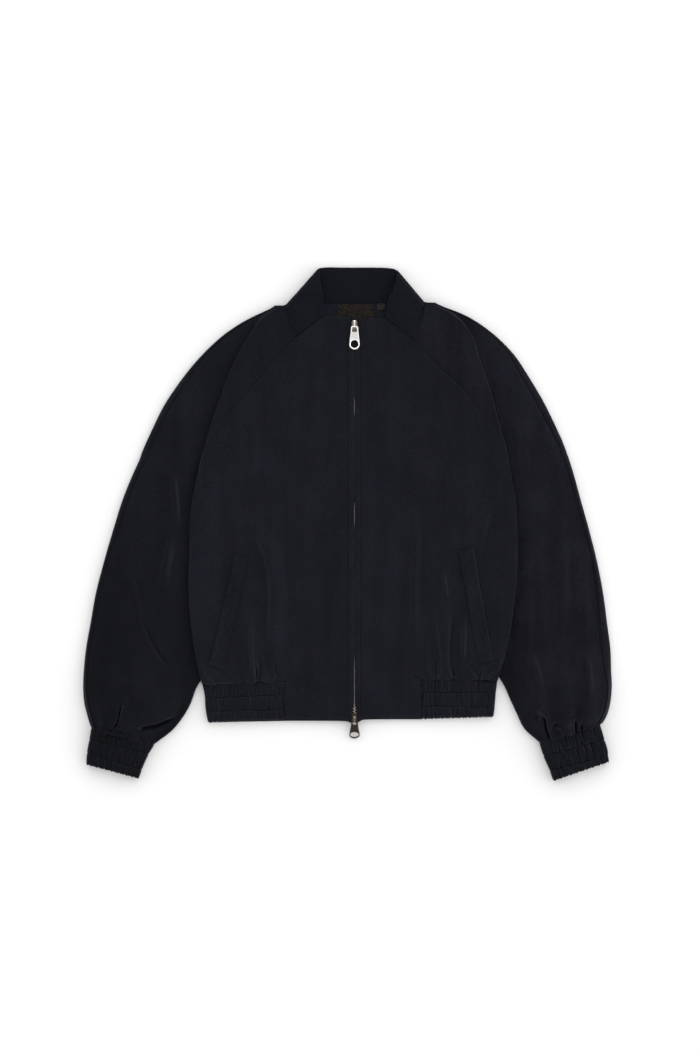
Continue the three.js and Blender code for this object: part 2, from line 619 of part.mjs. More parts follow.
function sideBand(side) {
  const topZ = BAND * 1.5 + 2 * GAP;
  const rows = SIDE_BAND[side].map(({ y, foldX }, i) => {
    const outX = foldX - BAND / 2;
    const tilt = i === SIDE_BAND[side].length - 1 ? BAND_TILT : 0;
    const run = [0, 0.25, 0.5, 0.75].map((t) => {
      const x = mix(HEM_SPLIT[side] + GAP, outX - BAND_ROLL, t);
      return at(x, y + (1 - t) * (side === "left" ? tilt : -tilt), topZ);
    });
    return [
      ...run, at(outX - BAND_ROLL, y, topZ), at(outX, y, (topZ + BAND / 2) / 2),
      at(outX - BAND_ROLL, y, BAND / 2), at(foldX - BAND_TAIL, y, BAND / 2),
    ];
  });
  return onSide(side, rows, BAND);
}

const BACK_HEM = 2.5; // lower edge of the hem in the middle of the back

function bandBack() {
  const edge = (side) => SIDE_BAND[side].map(({ y, foldX }) => [SIGN[side] * (foldX - BAND_TAIL - GAP), y]);
  return plate([...edge("left"), [0, BACK_HEM], ...edge("right").reverse()], 0, CLOTH);
}

function back() {
  const raglan = (side) => UPPER_SLEEVE[side].map((r) => [SIGN[side] * (r.backX - GAP), r.backY - GAP]);
  const sideSeam = (side) => LOWER_FRONT[side]
    .map((r) => [SIGN[side] * (r.ridgeX - SIDE_SEAM - GAP), Math.max(r.y, BAND_TOP[side] + GAP)]);
  const edge = (side) => [...raglan(side), ...sideSeam(side)];
  return plate([...edge("left"), ...edge("right").reverse()], 0, CLOTH);
}

// ---- neck ----
function collar() {
  const half = (side) => HALF_COLLAR[side].map((r) =>
    [0, 0.35, 0.7, 1].map((t) => {
      const roll = r.seamZ > Z_SEAM ? COLLAR_ROLL * Math.sin(Math.PI * t) : 0;
      return at(SIGN[side] * mix(r.seamX, r.freeX, t), mix(r.seamY, r.freeY, t),
        mix(r.seamZ, r.freeZ, t) + roll);
    }));
  return cloth([...half("left"), ...half("right").reverse()], COLLAR);
}

const FACING_Z = CLOTH + GAP;
const LABEL_Z = FACING_Z + TRIM + GAP;

const neckFacing = () => plate(FACING_OUTLINE, FACING_Z, FACING_Z + TRIM);
const neckLabel = () => block(LABEL.x0, LABEL.x1, LABEL.y0, LABEL.y1, LABEL_Z, LABEL_Z + TRIM);
const sizeTab = () =>
  block(SIZE_TAB.x0, SIZE_TAB.x1, SIZE_TAB.y0, SIZE_TAB.y1, LABEL_Z, LABEL_Z + TRIM);

// ---- cuffs ----
// A flattened tube: flat below, rounded at both ends.
const RING = table(["end", "across", "up"], [
  [0, 0, 0.5], [0, 0.3, 0.15], [0, 1, 0], [1, 1, 0], [1, 0.3, 0.15], [1, 0, 0.5], [1, 0.3, 0.85],
  [1, 1, 1], [0.75, 1, 1], [0.5, 1, 1], [0.25, 1, 1], [0, 1, 1], [0, 0.3, 0.85],
]);

function cuff(side) {
  const tall = CUFF_HEIGHT - CUFF;
  const rows = CUFF_ROWS[side].map((r) => {
    const [a, b] = [at(r.inX, r.inY, 0), at(r.outX, r.outY, 0)];
    const dir = b.clone().sub(a).normalize();
    return RING.map(({ end, across, up }) => {
      const inward = end === 0 ? 1 : end === 1 ? -1 : 0;
      const shift = CUFF / 2 + (across * tall) / 2;
      const p = a.clone().lerp(b, end).addScaledVector(dir, inward * shift);
      return at(p.x, p.y, CUFF / 2 + tall * up);
    });
  });
  return onSide(side, rows, CUFF, { loop: true });
}

// ---- zip ----
function zipTape(side) {
  const edges = [SIGN[side] * TAPE.inner, SIGN[side] * TAPE.outer].sort((a, b) => a - b);
  return block(...edges, TAPE.low, TAPE.high, TAPE.z0, TAPE.z1);
}

const zipChain = () => block(-CHAIN.half, CHAIN.half, CHAIN.low, CHAIN.high, CHAIN.z0, CHAIN.z1);

// Slider: two plates joined by the wedge at its leading end, with the bridge that holds the pull.
function slider({ y, toward, bridgeY }) {
  const tip = y + toward * (PLATE.length / 2);
  const tail = y - toward * (PLATE.length / 2);
  const corner = tip - toward * PLATE.corner;
  const outline = [
    [-PLATE.waist, tail], [PLATE.waist, tail], [PLATE.half, y], [PLATE.half, corner],
    [PLATE.waist, tip], [-PLATE.waist, tip], [-PLATE.half, corner], [-PLATE.half, y],
  ];
  if (toward < 0) outline.reverse();
  const near = Math.min(tip, tip - toward * WEDGE.length);
  const span = BRIDGE.length / 2;
  const post = (end) => block(-BRIDGE.half, BRIDGE.half, bridgeY + end * span - BRIDGE.thick / 2,
    bridgeY + end * span + BRIDGE.thick / 2, PLATE.z1 - SINK, BRIDGE.z1);
  return union([
    plate(outline, PLATE.z0, PLATE.z1),
    plate(outline, PLATE.under0, PLATE.under1),
    block(-WEDGE.half, WEDGE.half, near, near + WEDGE.length, PLATE.under0 + SINK, PLATE.z1 - SINK),
    post(-1), post(1),
    block(-BRIDGE.half, BRIDGE.half, bridgeY - span, bridgeY + span, BRIDGE.z1 - BRIDGE.thick, BRIDGE.z1),
  ]);
}

const PULL_STEPS = 6; // corners of a pull's round end

// Pull tab about its pin, lying toward -Y: an eye round the bridge, a neck and a round hole.
function pull(d) {
  const hole = (x, y, r) => new THREE.Path().absarc(x, y, r, 0, 2 * Math.PI, true);
  const eye = new THREE.Path();
  const low = EYE.rim - d.eye;
  eye.moveTo(-EYE.half, -PIN).lineTo(-EYE.half, low).lineTo(EYE.half, low).lineTo(EYE.half, -PIN);
  eye.closePath();
  const round = d.length - d.holeAt;
  const side = [
    [d.neck - 1, PIN], [d.neck, -EYE.shoulder], [d.neck, -d.eye], [d.wide - EYE.rim, -d.holeAt + round / 2],
  ];
  const end = Array.from({ length: PULL_STEPS + 1 }, (_, k) => {
    const turn = (k / PULL_STEPS) * Math.PI;
    return [d.wide * Math.cos(turn), -d.holeAt - round * Math.sin(turn)];
  });
  const outline = [...side, ...end, ...side.map(([x, y]) => [-x, y]).reverse()].reverse();
  return plate(outline, -d.thick / 2, d.thick / 2, [eye, hole(0, -d.holeAt, d.hole)]);
}

// ---- assembly ----
const jacket = new THREE.Group();
const laid = new THREE.Group();
jacket.add(laid);

function add(name, geometry, look, parent = laid) {
  const mesh = new THREE.Mesh(geometry, new THREE.MeshStandardMaterial(look));
  mesh.name = name;
  parent.add(mesh);
  return mesh;
}

function addPull(name, zip, shape, droop, look) {
  const pivot = new THREE.Group();
  pivot.position.set(0, zip.pivotY, PIVOT_Z);
  pivot.rotation.x = droop;
  laid.add(pivot);
  add(name, pull(shape), look, pivot);
}

for (const side of ["left", "right"]) {
  add("front_" + side, front(side), CLOTH_LOOK);
  add("sleeve_front_" + side, sleeveFront(side), CLOTH_LOOK);
  add("sleeve_back_" + side, sleeveBack(side), CLOTH_LOOK);
  add("hem_band_" + side, sideBand(side), CLOTH_LOOK);
  add("cuff_" + side, cuff(side), CLOTH_LOOK);
  add("pocket_welt_" + side, pocketWelt(side), CLOTH_LOOK);
  add("zip_tape_" + side, zipTape(side), TAPE_LOOK);
}
add("back", back(), CLOTH_LOOK);
add("hem_band_back", bandBack(), CLOTH_LOOK);
add("collar", collar(), RIB_LOOK);
add("neck_facing", neckFacing(), CLOTH_LOOK);
add("neck_label", neckLabel(), LABEL_LOOK);
add("size_tab", sizeTab(), TAB_LOOK);
add("zip_chain", zipChain(), TEETH_LOOK);
add("upper_slider", slider(UPPER_ZIP), SILVER_LOOK);
add("lower_slider", slider(LOWER_ZIP), BRASS_LOOK);
addPull("upper_pull", UPPER_ZIP, UPPER_PULL, 0, SILVER_LOOK);
addPull("lower_pull", LOWER_ZIP, LOWER_PULL, LOWER_DROOP, BRASS_LOOK);

// The origin lies on the floor under the middle of the whole jacket.
const box = new THREE.Box3().setFromObject(jacket, true);
laid.position.set(-(box.min.x + box.max.x) / 2, -(box.min.y + box.max.y) / 2, -box.min.z);

export default jacket;
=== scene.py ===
# A bomber jacket laid flat on its back, front up: every cloth piece is a thin shell on its solid's
# form, with its creases listed one by one. Millimetres here: X = 0 on the zip, Y = 0 on the hem, +Y
# toward the collar, +Z up, left and right as seen from above. SHIFT takes them to the imported frame.
import bpy, math
import numpy as np
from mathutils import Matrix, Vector
from mathutils.bvhtree import BVHTree


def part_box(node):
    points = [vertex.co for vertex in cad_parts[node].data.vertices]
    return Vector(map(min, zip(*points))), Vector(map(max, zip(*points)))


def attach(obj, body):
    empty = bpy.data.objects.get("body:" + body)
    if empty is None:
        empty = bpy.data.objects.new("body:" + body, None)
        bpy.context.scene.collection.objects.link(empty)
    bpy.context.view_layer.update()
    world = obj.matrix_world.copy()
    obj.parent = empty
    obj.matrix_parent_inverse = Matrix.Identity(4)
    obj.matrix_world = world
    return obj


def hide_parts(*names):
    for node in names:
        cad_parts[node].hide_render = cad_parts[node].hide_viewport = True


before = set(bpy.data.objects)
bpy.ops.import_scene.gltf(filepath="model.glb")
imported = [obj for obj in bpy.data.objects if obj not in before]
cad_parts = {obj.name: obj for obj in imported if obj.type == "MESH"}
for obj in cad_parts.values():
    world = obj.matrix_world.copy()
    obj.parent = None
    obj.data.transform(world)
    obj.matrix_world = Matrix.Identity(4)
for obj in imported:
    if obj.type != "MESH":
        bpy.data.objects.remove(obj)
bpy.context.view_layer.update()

chain_lo, chain_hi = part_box("zip_chain")
SHIFT = np.array([(chain_lo[0] + chain_hi[0]) * 500, chain_lo[1] * 1000 - 4.2, 0.0])
SIDES = {"left": -1, "right": 1}
RIDGE_DROP = 2.8  # from the ridge of a raglan fold to its under side
CLOTH = 0.95  # wall of the drawn cloth
HALF = 0.6  # half the solid's wall: where the lowest layer's middle lies
LOWEST = 0.04  # no cloth comes nearer to the floor
OVERHEAD = 0.08  # metres: above every piece
FINE = 1.0  # grid steps are this much coarser
SEEDS = {  # of each piece's waves or gathers
    "front_left": 1, "front_right": 2, "sleeve_front_left": 3, "sleeve_front_right": 4,
    "sleeve_back_left": 5, "sleeve_back_right": 6, "back": 7, "collar": 8, "neck_facing": 9,
    "neck_label": 9, "size_tab": 10, "hem_band_left": 11, "hem_band_right": 12,
    "hem_band_back": 13, "cuff_left": 21, "cuff_right": 22}
RIPPLE = 50  # added to the seed for the edge of an elastic piece

# ------------------------------------------------------------------ the solid's form, by rows
UPPER_KEYS = "seamX seamY seamZ ridgeX ridgeY ridgeZ tuck fold edgeX edgeY inset puff backX backY"
LOWER_KEYS = "edgeX edgeY innerX innerY innerZ coverX inset puff"
UPPER_SLEEVE = {  # rows of UPPER_KEYS
    "left": [
        (100.4, 624.2, 4.4, 110.5, 621.6, 4.6, 4, 0, 125, 617.2, 3.5, 0.3, 77, 620),
        (95.3, 596.5, 4.9, 143, 600, 5.4, 4, 0.4, 161.5, 600, 4, 0.6, 89, 601),
        (87.4, 577, 5.0, 156, 581, 6.7, 4, 1, 191.6, 581, 4.5, 0.8, 101, 581),
        (106, 555, 5.0, 168, 561, 6.9, 5, 1, 215, 561, 5, 1.0, 113, 561),
        (135, 524, 5.0, 184, 530, 7.1, 7, 1, 245, 529, 6, 1.2, 132, 530),
        (156, 497, 5.0, 196, 499, 7.2, 9, 1, 267, 500, 9, 1.3, 149, 500),
        (171, 480, 5.1, 204, 476, 7.2, 11, 1, 286, 471, 10, 1.4, 165, 471),
        (188, 459, 5.4, 214, 448, 7.2, 13, 1, 301, 441, 9, 1.5, 181, 441),
        (209, 427, 6.2, 228, 400, 7.2, 15, 1, 320, 398, 8, 1.6, 202.6, 401.5)],
    "right": [
        (105.5, 627, 4.6, 112, 625.9, 4.6, 4, 0, 126, 622.6, 3.5, 0.3, 77, 621),
        (97.6, 600, 4.9, 152, 606, 5.2, 4, 0.4, 169.6, 605, 4, 0.6, 87, 606),
        (86.9, 574.5, 5.0, 177, 577, 6.7, 4, 1, 214, 574, 4, 0.8, 104, 577),
        (109, 549, 5.0, 185, 551, 6.9, 5, 1, 240, 547, 7, 1.0, 119, 551),
        (140, 518, 5.0, 196.5, 517, 7.1, 7, 1, 262.5, 513, 10, 1.2, 138, 517),
        (166, 494, 5.0, 206, 488, 7.2, 9, 1, 280, 484, 10.5, 1.3, 154, 488),
        (183, 471, 5.2, 213, 460, 7.2, 12, 1, 294, 457, 10.2, 1.5, 170, 460),
        (204, 444, 5.8, 222, 425, 7.2, 15, 1, 309, 425, 8.3, 1.6, 196.6, 426.8)],
}
LOWER_SLEEVE = {  # rows of LOWER_KEYS
    "left": [
        (321, 394.5, 213, 395, 2.6, 229, 8, 1.6), (334, 365, 220.5, 365, 2.6, 236.5, 7, 1.8),
        (348, 330, 227, 330, 2.6, 243, 7, 2.0), (362, 285, 231, 285, 2.6, 247, 6, 2.2),
        (376, 237, 232, 237, 2.6, 248, 4.5, 2.4), (388, 190, 233, 190, 2.6, 249, 4, 2.6),
        (396, 145, 229, 145, 2.6, 245, 4, 3.0), (403, 105, 224, 104, 2.6, 240, 4, 4.5),
        (406, 75, 224, 72, 2.6, 236, 4, 7.5), (407, 48, 237, 48, 3.6, 248, 5, 10.5),
        (405, 24, 246, 24, 4.4, 256, 6, 12), (401, 8, 256, 6, 4.8, 266, 6, 11),
        (397.5, -4, 272, -14, 4.6, 282, 6, 8), (394, -12.5, 300, -36, 4.2, 310, 5, 4)],
    "right": [
        (311, 420.5, 206.5, 420.5, 2.6, 222.5, 8, 1.6),
        (323, 388, 214.5, 388, 2.6, 230.5, 6.9, 1.8),
        (339.5, 330, 225, 330, 2.6, 241, 6.2, 2.0), (352, 285, 228, 285, 2.6, 244, 6, 2.2),
        (364, 237, 228, 237, 2.6, 244, 6, 2.4), (373, 190, 225, 190, 2.6, 241, 8, 2.6),
        (379, 145, 219, 145, 2.6, 235, 11, 3.0), (384, 105, 213, 105, 2.6, 228, 12, 4.5),
        (385, 75, 212, 76, 2.6, 222, 9, 7.5), (386, 48, 226, 48, 3.6, 237, 6, 10.5),
        (383, 22, 236, 25, 4.4, 247, 6, 12), (379, 8, 244, 8, 4.8, 255, 6, 11),
        (373.5, -2, 254, -12, 4.6, 265, 6, 8), (368, -7, 278, -34, 4.2, 289, 5, 4)],
}
UPPER_FRONT = {  # y edgeX edgeY edgeZ midX
    "left": [
        (604.5, 43.8, 608.3, 5.2, 22), (594, 63.5, 593, 5.2, 32), (584, 76, 583.5, 5.1, 40),
        (575.5, 86.6, 575.2, 5.0, 44), (555, 105.6, 554.8, 5.0, 52), (524, 134.6, 523.8, 5.0, 66),
        (497, 155.6, 496.8, 5.0, 78), (480, 170.6, 479.8, 5.1, 85), (459, 187.6, 458.8, 5.4, 94),
        (427, 208.6, 426.8, 6.2, 104)],
    "right": [
        (603.5, 45.8, 603.3, 5.2, 22), (594, 58, 594, 5.2, 30), (584, 71, 584, 5.1, 38),
        (574, 85.8, 573, 5.0, 44), (549, 108.6, 548.8, 5.0, 54), (518, 139.6, 517.8, 5.0, 68),
        (494, 165.6, 493.8, 5.0, 80), (471, 182.6, 470.8, 5.2, 92), (444, 203.6, 443.8, 5.8, 102)],
}
LOWER_FRONT = {  # y ridgeX ridgeZ underZ midX
    "left": [
        (399.4, 228.2, 7.4, 4.6, 110), (362, 237, 7.4, 4.6, 114), (319, 245, 7.4, 4.6, 118),
        (245, 248, 7.4, 4.6, 120), (198, 249, 7.4, 4.6, 120), (150, 246, 7.4, 4.6, 118),
        (112, 241, 7.4, 4.6, 114), (86, 237, 7.3, 4.6, 110), (68, 232.5, 7.1, 4.6, 106),
        (57.6, 229.5, 6.8, 4.4, 104.6)],
    "right": [
        (424.4, 222.2, 7.4, 4.6, 106), (380, 232, 7.4, 4.6, 112), (330, 241, 7.4, 4.6, 118),
        (270, 244.5, 7.4, 4.6, 120), (224, 244, 7.4, 4.6, 120), (171, 239, 7.4, 4.6, 118),
        (119, 231, 7.4, 4.6, 112), (90, 224, 7.3, 4.6, 108), (72, 218.5, 7.1, 4.6, 103.5),
        (60, 215, 6.8, 4.4, 100.6)],
}
HEM_ROWS = {  # y at the zip, y at the elastic
    "left": [(36, 36), (14, 14.5), (-4.4, -1)],
    "right": [(38, 38), (15, 15), (-4.0, 1.3)]}
HEM_SPLIT = {"left": 104.6, "right": 100.6}  # x where the plain hem meets the elastic
PARTING = [  # y, half the gap between the front edges
    (640, 6.4), (583.5, 6.4), (575, 0.15), (498, 0.03), (470, 0.64), (442, 0.03), (346, 0.03),
    (308, 0.64), (270, 0.03), (131, 0.05), (66, 0.6), (24, 0.75), (13, 4.1), (-20, 4.1)]
SIDE_BAND = {  # y foldX
    "left": [(57, 229), (38, 225), (17, 223.5), (-3.2, 220)],
    "right": [(59.4, 214.5), (41, 212), (21, 210.5), (4.8, 208.5)]}
HALF_COLLAR = {  # seamX seamY seamZ freeX freeY freeZ
    "left": [
        (44.9, 608, 5.5, 44.2, 612, 6.0), (65, 592.6, 5.3, 47, 630, 6.9),
        (88.2, 575.8, 5.2, 50.4, 652, 7.3), (95.8, 596.6, 5.3, 52.2, 664, 7.3),
        (101.8, 614.8, 5.7, 51.6, 671.2, 6.6), (103.2, 619.6, 3.8, 53.6, 676.4, 4.0),
        (100.2, 623.4, 1.5, 49.8, 678, 1.7), (70, 622.6, 0.9, 36, 678.9, 1.35),
        (35, 622.6, 0.9, 18, 678.6, 1.35)],
    "right": [
        (47, 603.4, 5.5, 46.4, 607.5, 6.0), (64.6, 588.8, 5.3, 50, 628, 6.9),
        (87, 572.6, 5.2, 56.5, 643, 7.3), (96.4, 596.6, 5.3, 61.8, 657, 7.3),
        (102.4, 618, 6.0, 63.4, 667.4, 6.6), (104.9, 624.6, 3.8, 64.8, 672.2, 4.0),
        (101.5, 626.4, 1.5, 57.5, 677, 1.7), (70, 622.6, 0.9, 36, 678.5, 1.35),
        (35, 622.6, 0.9, 18, 678.6, 1.35)],
}
CUFF_ROWS = {  # outX outY inX inY
    "left": [(395, -13.4, 300.5, -37.2), (397.6, -30, 309, -52), (401, -48, 317, -70),
             (402, -66.5, 323.5, -87.5)],
    "right": [(368.6, -8, 277.5, -35.4), (373.6, -25, 283, -53), (379, -43, 290.7, -71),
              (381.5, -62.5, 298, -91)]}
WELT_ENDS = {  # outX outY inX inY
    "left": [(178, 250, 160, 243), (217, 84, 196, 76)],
    "right": [(178, 257, 156, 253), (207, 91, 186, 87)]}

# ------------------------------------------------------------------ creases
# Each: points of its line, width on its left and on its right (facing along it), height, and the
# shares of its length over which it fades at its start and end.
FRONT_CREASES = [
    # left front
    ([(-146, 302), (-141, 274), (-130, 245), (-125, 222), (-122.5, 186), (-124.5, 129), (-125, 66)],
     26, 9.5, 3.5, 0.2, 0.35),
    ([(-154, 210), (-154, 136), (-153, 90), (-149, 62)], 12, 8, 1.0, 0.45, 0.05),
    ([(-153, 168), (-155, 105), (-153, 79), (-149, 60)], 4.5, 3.0, 1.6, 0.4, 0.0),
    ([(-144.7, 96), (-141.5, 76), (-143, 57)], 2.6, 2.6, -2.1, 0.4, 0.0),
    ([(-147.7, 82), (-147.7, 57)], 2.2, 2.2, -2.0, 0.4, 0.0),
    ([(-137, 82), (-136, 58)], 7, 6, 1.1, 0.5, 0.0),
    ([(-119, 90), (-118.5, 73), (-114.7, 66.5), (-118.5, 57)], 2.3, 2.3, -1.9, 0.3, 0.0),
    ([(-109, 80), (-108, 58)], 8, 7, 0.9, 0.5, 0.0),
    ([(-168, 68), (-170.5, 53)], 2.4, 2.4, -1.8, 0.5, 0.0),
    ([(-165.3, 60), (-165.3, 53)], 2.4, 2.4, -2.8, 0.3, 0.0),
    ([(-212, 67), (-207, 60), (-202, 53)], 2.4, 2.4, -2.4, 0.4, 0.0),
    ([(-205, 65), (-199, 54)], 2.2, 2.2, -2.0, 0.4, 0.0),
    ([(-92, 98), (-92, 60)], 5, 5, 0.8, 0.4, 0.2),
    ([(-186, 150), (-188, 92), (-186, 56)], 16, 16, 0.8, 0.5, 0.1),
    ([(-230, 88), (-228.5, 72), (-218, 59), (-211, 51)], 3.4, 2.2, 0.9, 0.2, 0.0),
    # right front
    ([(155, 206), (148, 160), (142, 123), (141.6, 84), (147.5, 66)], 4.5, 15, 0.6, 0.4, 0.05),
    ([(151, 178), (145.5, 123), (145, 84), (149.5, 64)], 2.2, 6.0, -1.6, 0.45, 0.0),
    ([(164.5, 162), (163.5, 118), (162.3, 78)], 5, 5, 2.3, 0.4, 0.3),
    ([(170, 80), (177, 68), (184, 60)], 3.2, 3.2, 1.2, 0.35, 0.0),
    ([(86, 350), (90, 260), (88, 180), (92, 90)], 12, 7, 2.3, 0.35, 0.3),
    ([(204, 332), (194, 298), (183, 262)], 11, 15, 2.4, 0.4, 0.4),
    ([(119, 175), (125, 110), (127.5, 90), (124, 64)], 4.5, 9, 1.4, 0.45, 0.0),
    ([(124.2, 98), (123.2, 76), (120.5, 59)], 2.5, 2.5, -2.1, 0.35, 0.0),
    ([(108.8, 136), (108.8, 100), (109.5, 61)], 7, 6, 1.0, 0.4, 0.1),
    ([(106.2, 102), (107, 76), (110.5, 59)], 2.2, 2.2, -1.1, 0.35, 0.0),
    ([(132, 230), (135, 205), (141, 176)], 4, 6, 1.9, 0.4, 0.4),
    ([(134, 180), (137, 150), (136, 110)], 9, 9, 1.2, 0.4, 0.4),
    ([(172, 85), (181, 70), (187, 61)], 2.4, 2.4, -0.9, 0.3, 0.1),
    ([(189, 76), (189, 67), (185.5, 58)], 2.6, 2.6, -2.2, 0.35, 0.0),
    ([(194, 84), (194, 61)], 5, 4, 1.0, 0.4, 0.0),
    ([(222, 100), (213, 74), (205, 68), (197, 59)], 3.2, 3.2, 1.4, 0.25, 0.0),
    ([(209, 66), (199.5, 57)], 2.6, 2.6, -1.3, 0.4, 0.0),
    ([(85, 71), (97.5, 59)], 2.2, 2.2, -1.2, 0.35, 0.0),
    ([(146, 76), (150, 66)], 2.4, 2.4, -1.7, 0.3, 0.0),
    ([(96, 60), (85, 46), (74, 30), (63, 6)], 9, 9, 1.2, 0.25, 0.3),
    # neckline
    ([(40.4, 602), (31.5, 590)], 2.2, 2.2, -0.7, 0.2, 0.4),
    ([(38.6, 597), (33.5, 587)], 2.6, 2.6, 0.6, 0.3, 0.4),
    ([(-24, 604), (-26, 590)], 5, 5, 0.6, 0.1, 0.5),
    ([(24, 604), (24, 592)], 4, 4, 0.5, 0.1, 0.5),
]
SLEEVE_CREASES = [
    # left sleeve
    ([(-326, -15), (-316, -10.5), (-300, -8), (-280, 0), (-266, 5), (-257, 13), (-250, 24)],
     2.6, 6, -5.2, 0.15, 0.12),
    ([(-347.5, 28), (-352, 10), (-356.5, -8)], 2.5, 2.5, -3.5, 0.35, 0.0),
    ([(-350, 16), (-345, 38), (-335, 54)], 13, 13, -1.5, 0.2, 0.4),
    ([(-341, -18), (-340, 14), (-344, 40)], 11, 9, 1.2, 0.2, 0.5),
    ([(-366, -17), (-361, -11), (-355, -4)], 2.2, 2.2, -2.4, 0.0, 0.4),
    ([(-354, -11), (-347, -19), (-342, -26)], 2.2, 2.2, -2.4, 0.3, 0.0),
    ([(-377, -16), (-377, 10)], 9, 9, 1.1, 0.0, 0.6),
    ([(-324, 172), (-314, 140), (-301, 112), (-284, 87), (-272, 72)], 2.6, 3.0, -1.6, 0.35, 0.25),
    ([(-352, 238), (-334, 208), (-320, 158), (-306, 118), (-290, 92)], 4, 12, 0.8, 0.3, 0.4),
    ([(-379, 146), (-388, 116), (-393, 88), (-395, 66)], 6, 6, 1.9, 0.35, 0.4),
    ([(-272, 376), (-268, 335), (-266, 300), (-268, 280)], 5.5, 10, 3.0, 0.35, 0.4),
    ([(-270, 292), (-278, 255), (-285, 215), (-287, 180)], 9, 11, 2.7, 0.4, 0.4),
    ([(-300, 452), (-306, 430), (-300, 405)], 6, 6, 1.0, 0.4, 0.4),
    ([(-300, 410), (-328, 310), (-345, 200), (-350, 110)], 26, 26, 0.9, 0.3, 0.3),
    ([(-250, 500), (-285, 420), (-310, 340)], 22, 22, 0.7, 0.3, 0.4),
    # right sleeve
    ([(262, 106), (269.7, 90), (280.4, 51.5), (285.8, 22), (292.5, -9), (296, -30)],
     3.4, 6, 1.6, 0.2, 0.0),
    ([(264, 110), (276, 62), (285.8, 18), (293, -14)], 14, 17, 1.0, 0.3, 0.1),
    ([(279, 12), (285.4, 0), (286.4, -10), (290, -20), (293.5, -33)], 2.8, 2.6, -5.0, 0.3, 0.0),
    ([(272.5, 14.5), (280.4, 13), (285, 6), (286.8, -2)], 2.6, 3.4, 1.6, 0.2, 0.2),
    ([(270, 0), (277, 5), (281, 8)], 8, 6, -2.2, 0.4, 0.3),
    ([(298.5, -12), (298.8, -8), (301.8, -5.5), (309, -5.5)], 3.0, 3.0, -2.8, 0.2, 0.4),
    ([(301, -9.5), (309.5, -13.5), (314.5, -24)], 3.0, 3.0, 1.7, 0.2, 0.0),
    ([(331.3, 4), (331.3, -24)], 2.5, 2.5, -4.6, 0.3, 0.0),
    ([(339.6, -3), (340.6, -18)], 2.2, 2.2, -3.6, 0.3, 0.1),
    ([(335.2, -12), (335.2, -24)], 2.2, 2.2, -3.4, 0.3, 0.0),
    ([(346, -11), (345.2, -22)], 2.7, 2.7, -3.6, 0.3, 0.0),
    ([(331, 24), (332, 2)], 9, 9, -1.2, 0.4, 0.2),
    ([(345, 106), (351, 80), (353, 55), (350, 24)], 6, 10, 1.25, 0.35, 0.4),
    ([(315, 295), (309, 226), (306, 160), (307, 60)], 16, 10, 2.2, 0.35, 0.4),
    ([(381, 60), (378, 36), (373, 14), (370, -2)], 7, 7, 1.5, 0.35, 0.25),
    ([(318, 4), (320, -22)], 7, 7, 1.3, 0.4, 0.0),
    ([(291, 410), (314, 310), (326, 200), (330, 120)], 24, 24, 0.9, 0.3, 0.3),
    ([(262, 350), (258, 250), (256, 170)], 14, 14, 0.9, 0.4, 0.4),
    ([(262, 500), (290, 420), (305, 350)], 20, 20, 0.7, 0.3, 0.4),
]
# The back lies on the floor and doesn't show: soft creases of the same kinds, pressed flat.
BACK_CREASES = [
    ([(-60, 560), (-20, 420), (-30, 300)], 16, 16, 0.5, 0.3, 0.4),
    ([(90, 520), (60, 400), (70, 280)], 14, 14, 0.5, 0.3, 0.4),
    ([(-120, 200), (-112, 120), (-116, 60)], 9, 9, 0.6, 0.4, 0.0),
    ([(-60, 150), (-52, 60)], 7, 7, 0.6, 0.4, 0.0),
    ([(8, 170), (4, 60)], 8, 8, 0.6, 0.4, 0.0),
    ([(64, 140), (70, 60)], 7, 7, 0.6, 0.4, 0.0),
    ([(128, 190), (120, 110), (124, 60)], 9, 9, 0.6, 0.4, 0.0),
    ([(170, 130), (172, 60)], 6, 6, 0.5, 0.4, 0.0),
    ([(-172, 130), (-168, 60)], 6, 6, 0.5, 0.4, 0.0),
]
SLEEVE_BACK_CREASES = [
    ([(-300, 380), (-330, 250), (-340, 140)], 18, 18, 0.6, 0.3, 0.4),
    ([(-330, 90), (-336, 10), (-340, -20)], 10, 10, 1.2, 0.4, 0.0),
    ([(-290, 70), (-312, 10), (-320, -26)], 8, 8, 1.1, 0.4, 0.0),
    ([(-370, 60), (-372, 0), (-368, -16)], 8, 8, 1.0, 0.4, 0.0),
    ([(290, 380), (310, 250), (316, 140)], 18, 18, 0.6, 0.3, 0.4),
    ([(310, 90), (312, 10), (316, -20)], 10, 10, 1.2, 0.4, 0.0),
    ([(270, 60), (292, 8), (300, -28)], 8, 8, 1.1, 0.4, 0.0),
    ([(350, 60), (350, 0), (346, -14)], 8, 8, 1.0, 0.4, 0.0),
]


# ------------------------------------------------------------------ curves and grids
def smooth(a, b, t):
    """Eased from 0 where t is a to 1 where t is b."""
    k = np.clip((np.asarray(t, float) - a) / (b - a), 0, 1)
    return k * k * (3 - 2 * k)


def inset(t, fade):
    """1 inside a piece that t crosses from 0 to 1, eased to 0 at both its ends."""
    return smooth(0, fade, t) * smooth(1, 1 - fade, t)


def bell(off, wide):
    return np.exp(-(off / wide) ** 2)


def rounded_rim(off, radius, least):
    """Share of the full wall at a distance from a rounded edge."""
    return np.sqrt(np.clip(1 - (1 - np.clip(off / radius, 0, 1)) ** 2, least, 1))


def mix(a, b, t):
    return a + (b - a) * t


def xy(x, y):
    return np.array([x, y], float)


def toward(a, b, mm):
    return a + (b - a) * (mm / np.linalg.norm(b - a))


def lengths(points):
    """Distance along a line at each of its points."""
    return np.concatenate([[0], np.cumsum(np.linalg.norm(np.diff(points, axis=0), axis=1))])


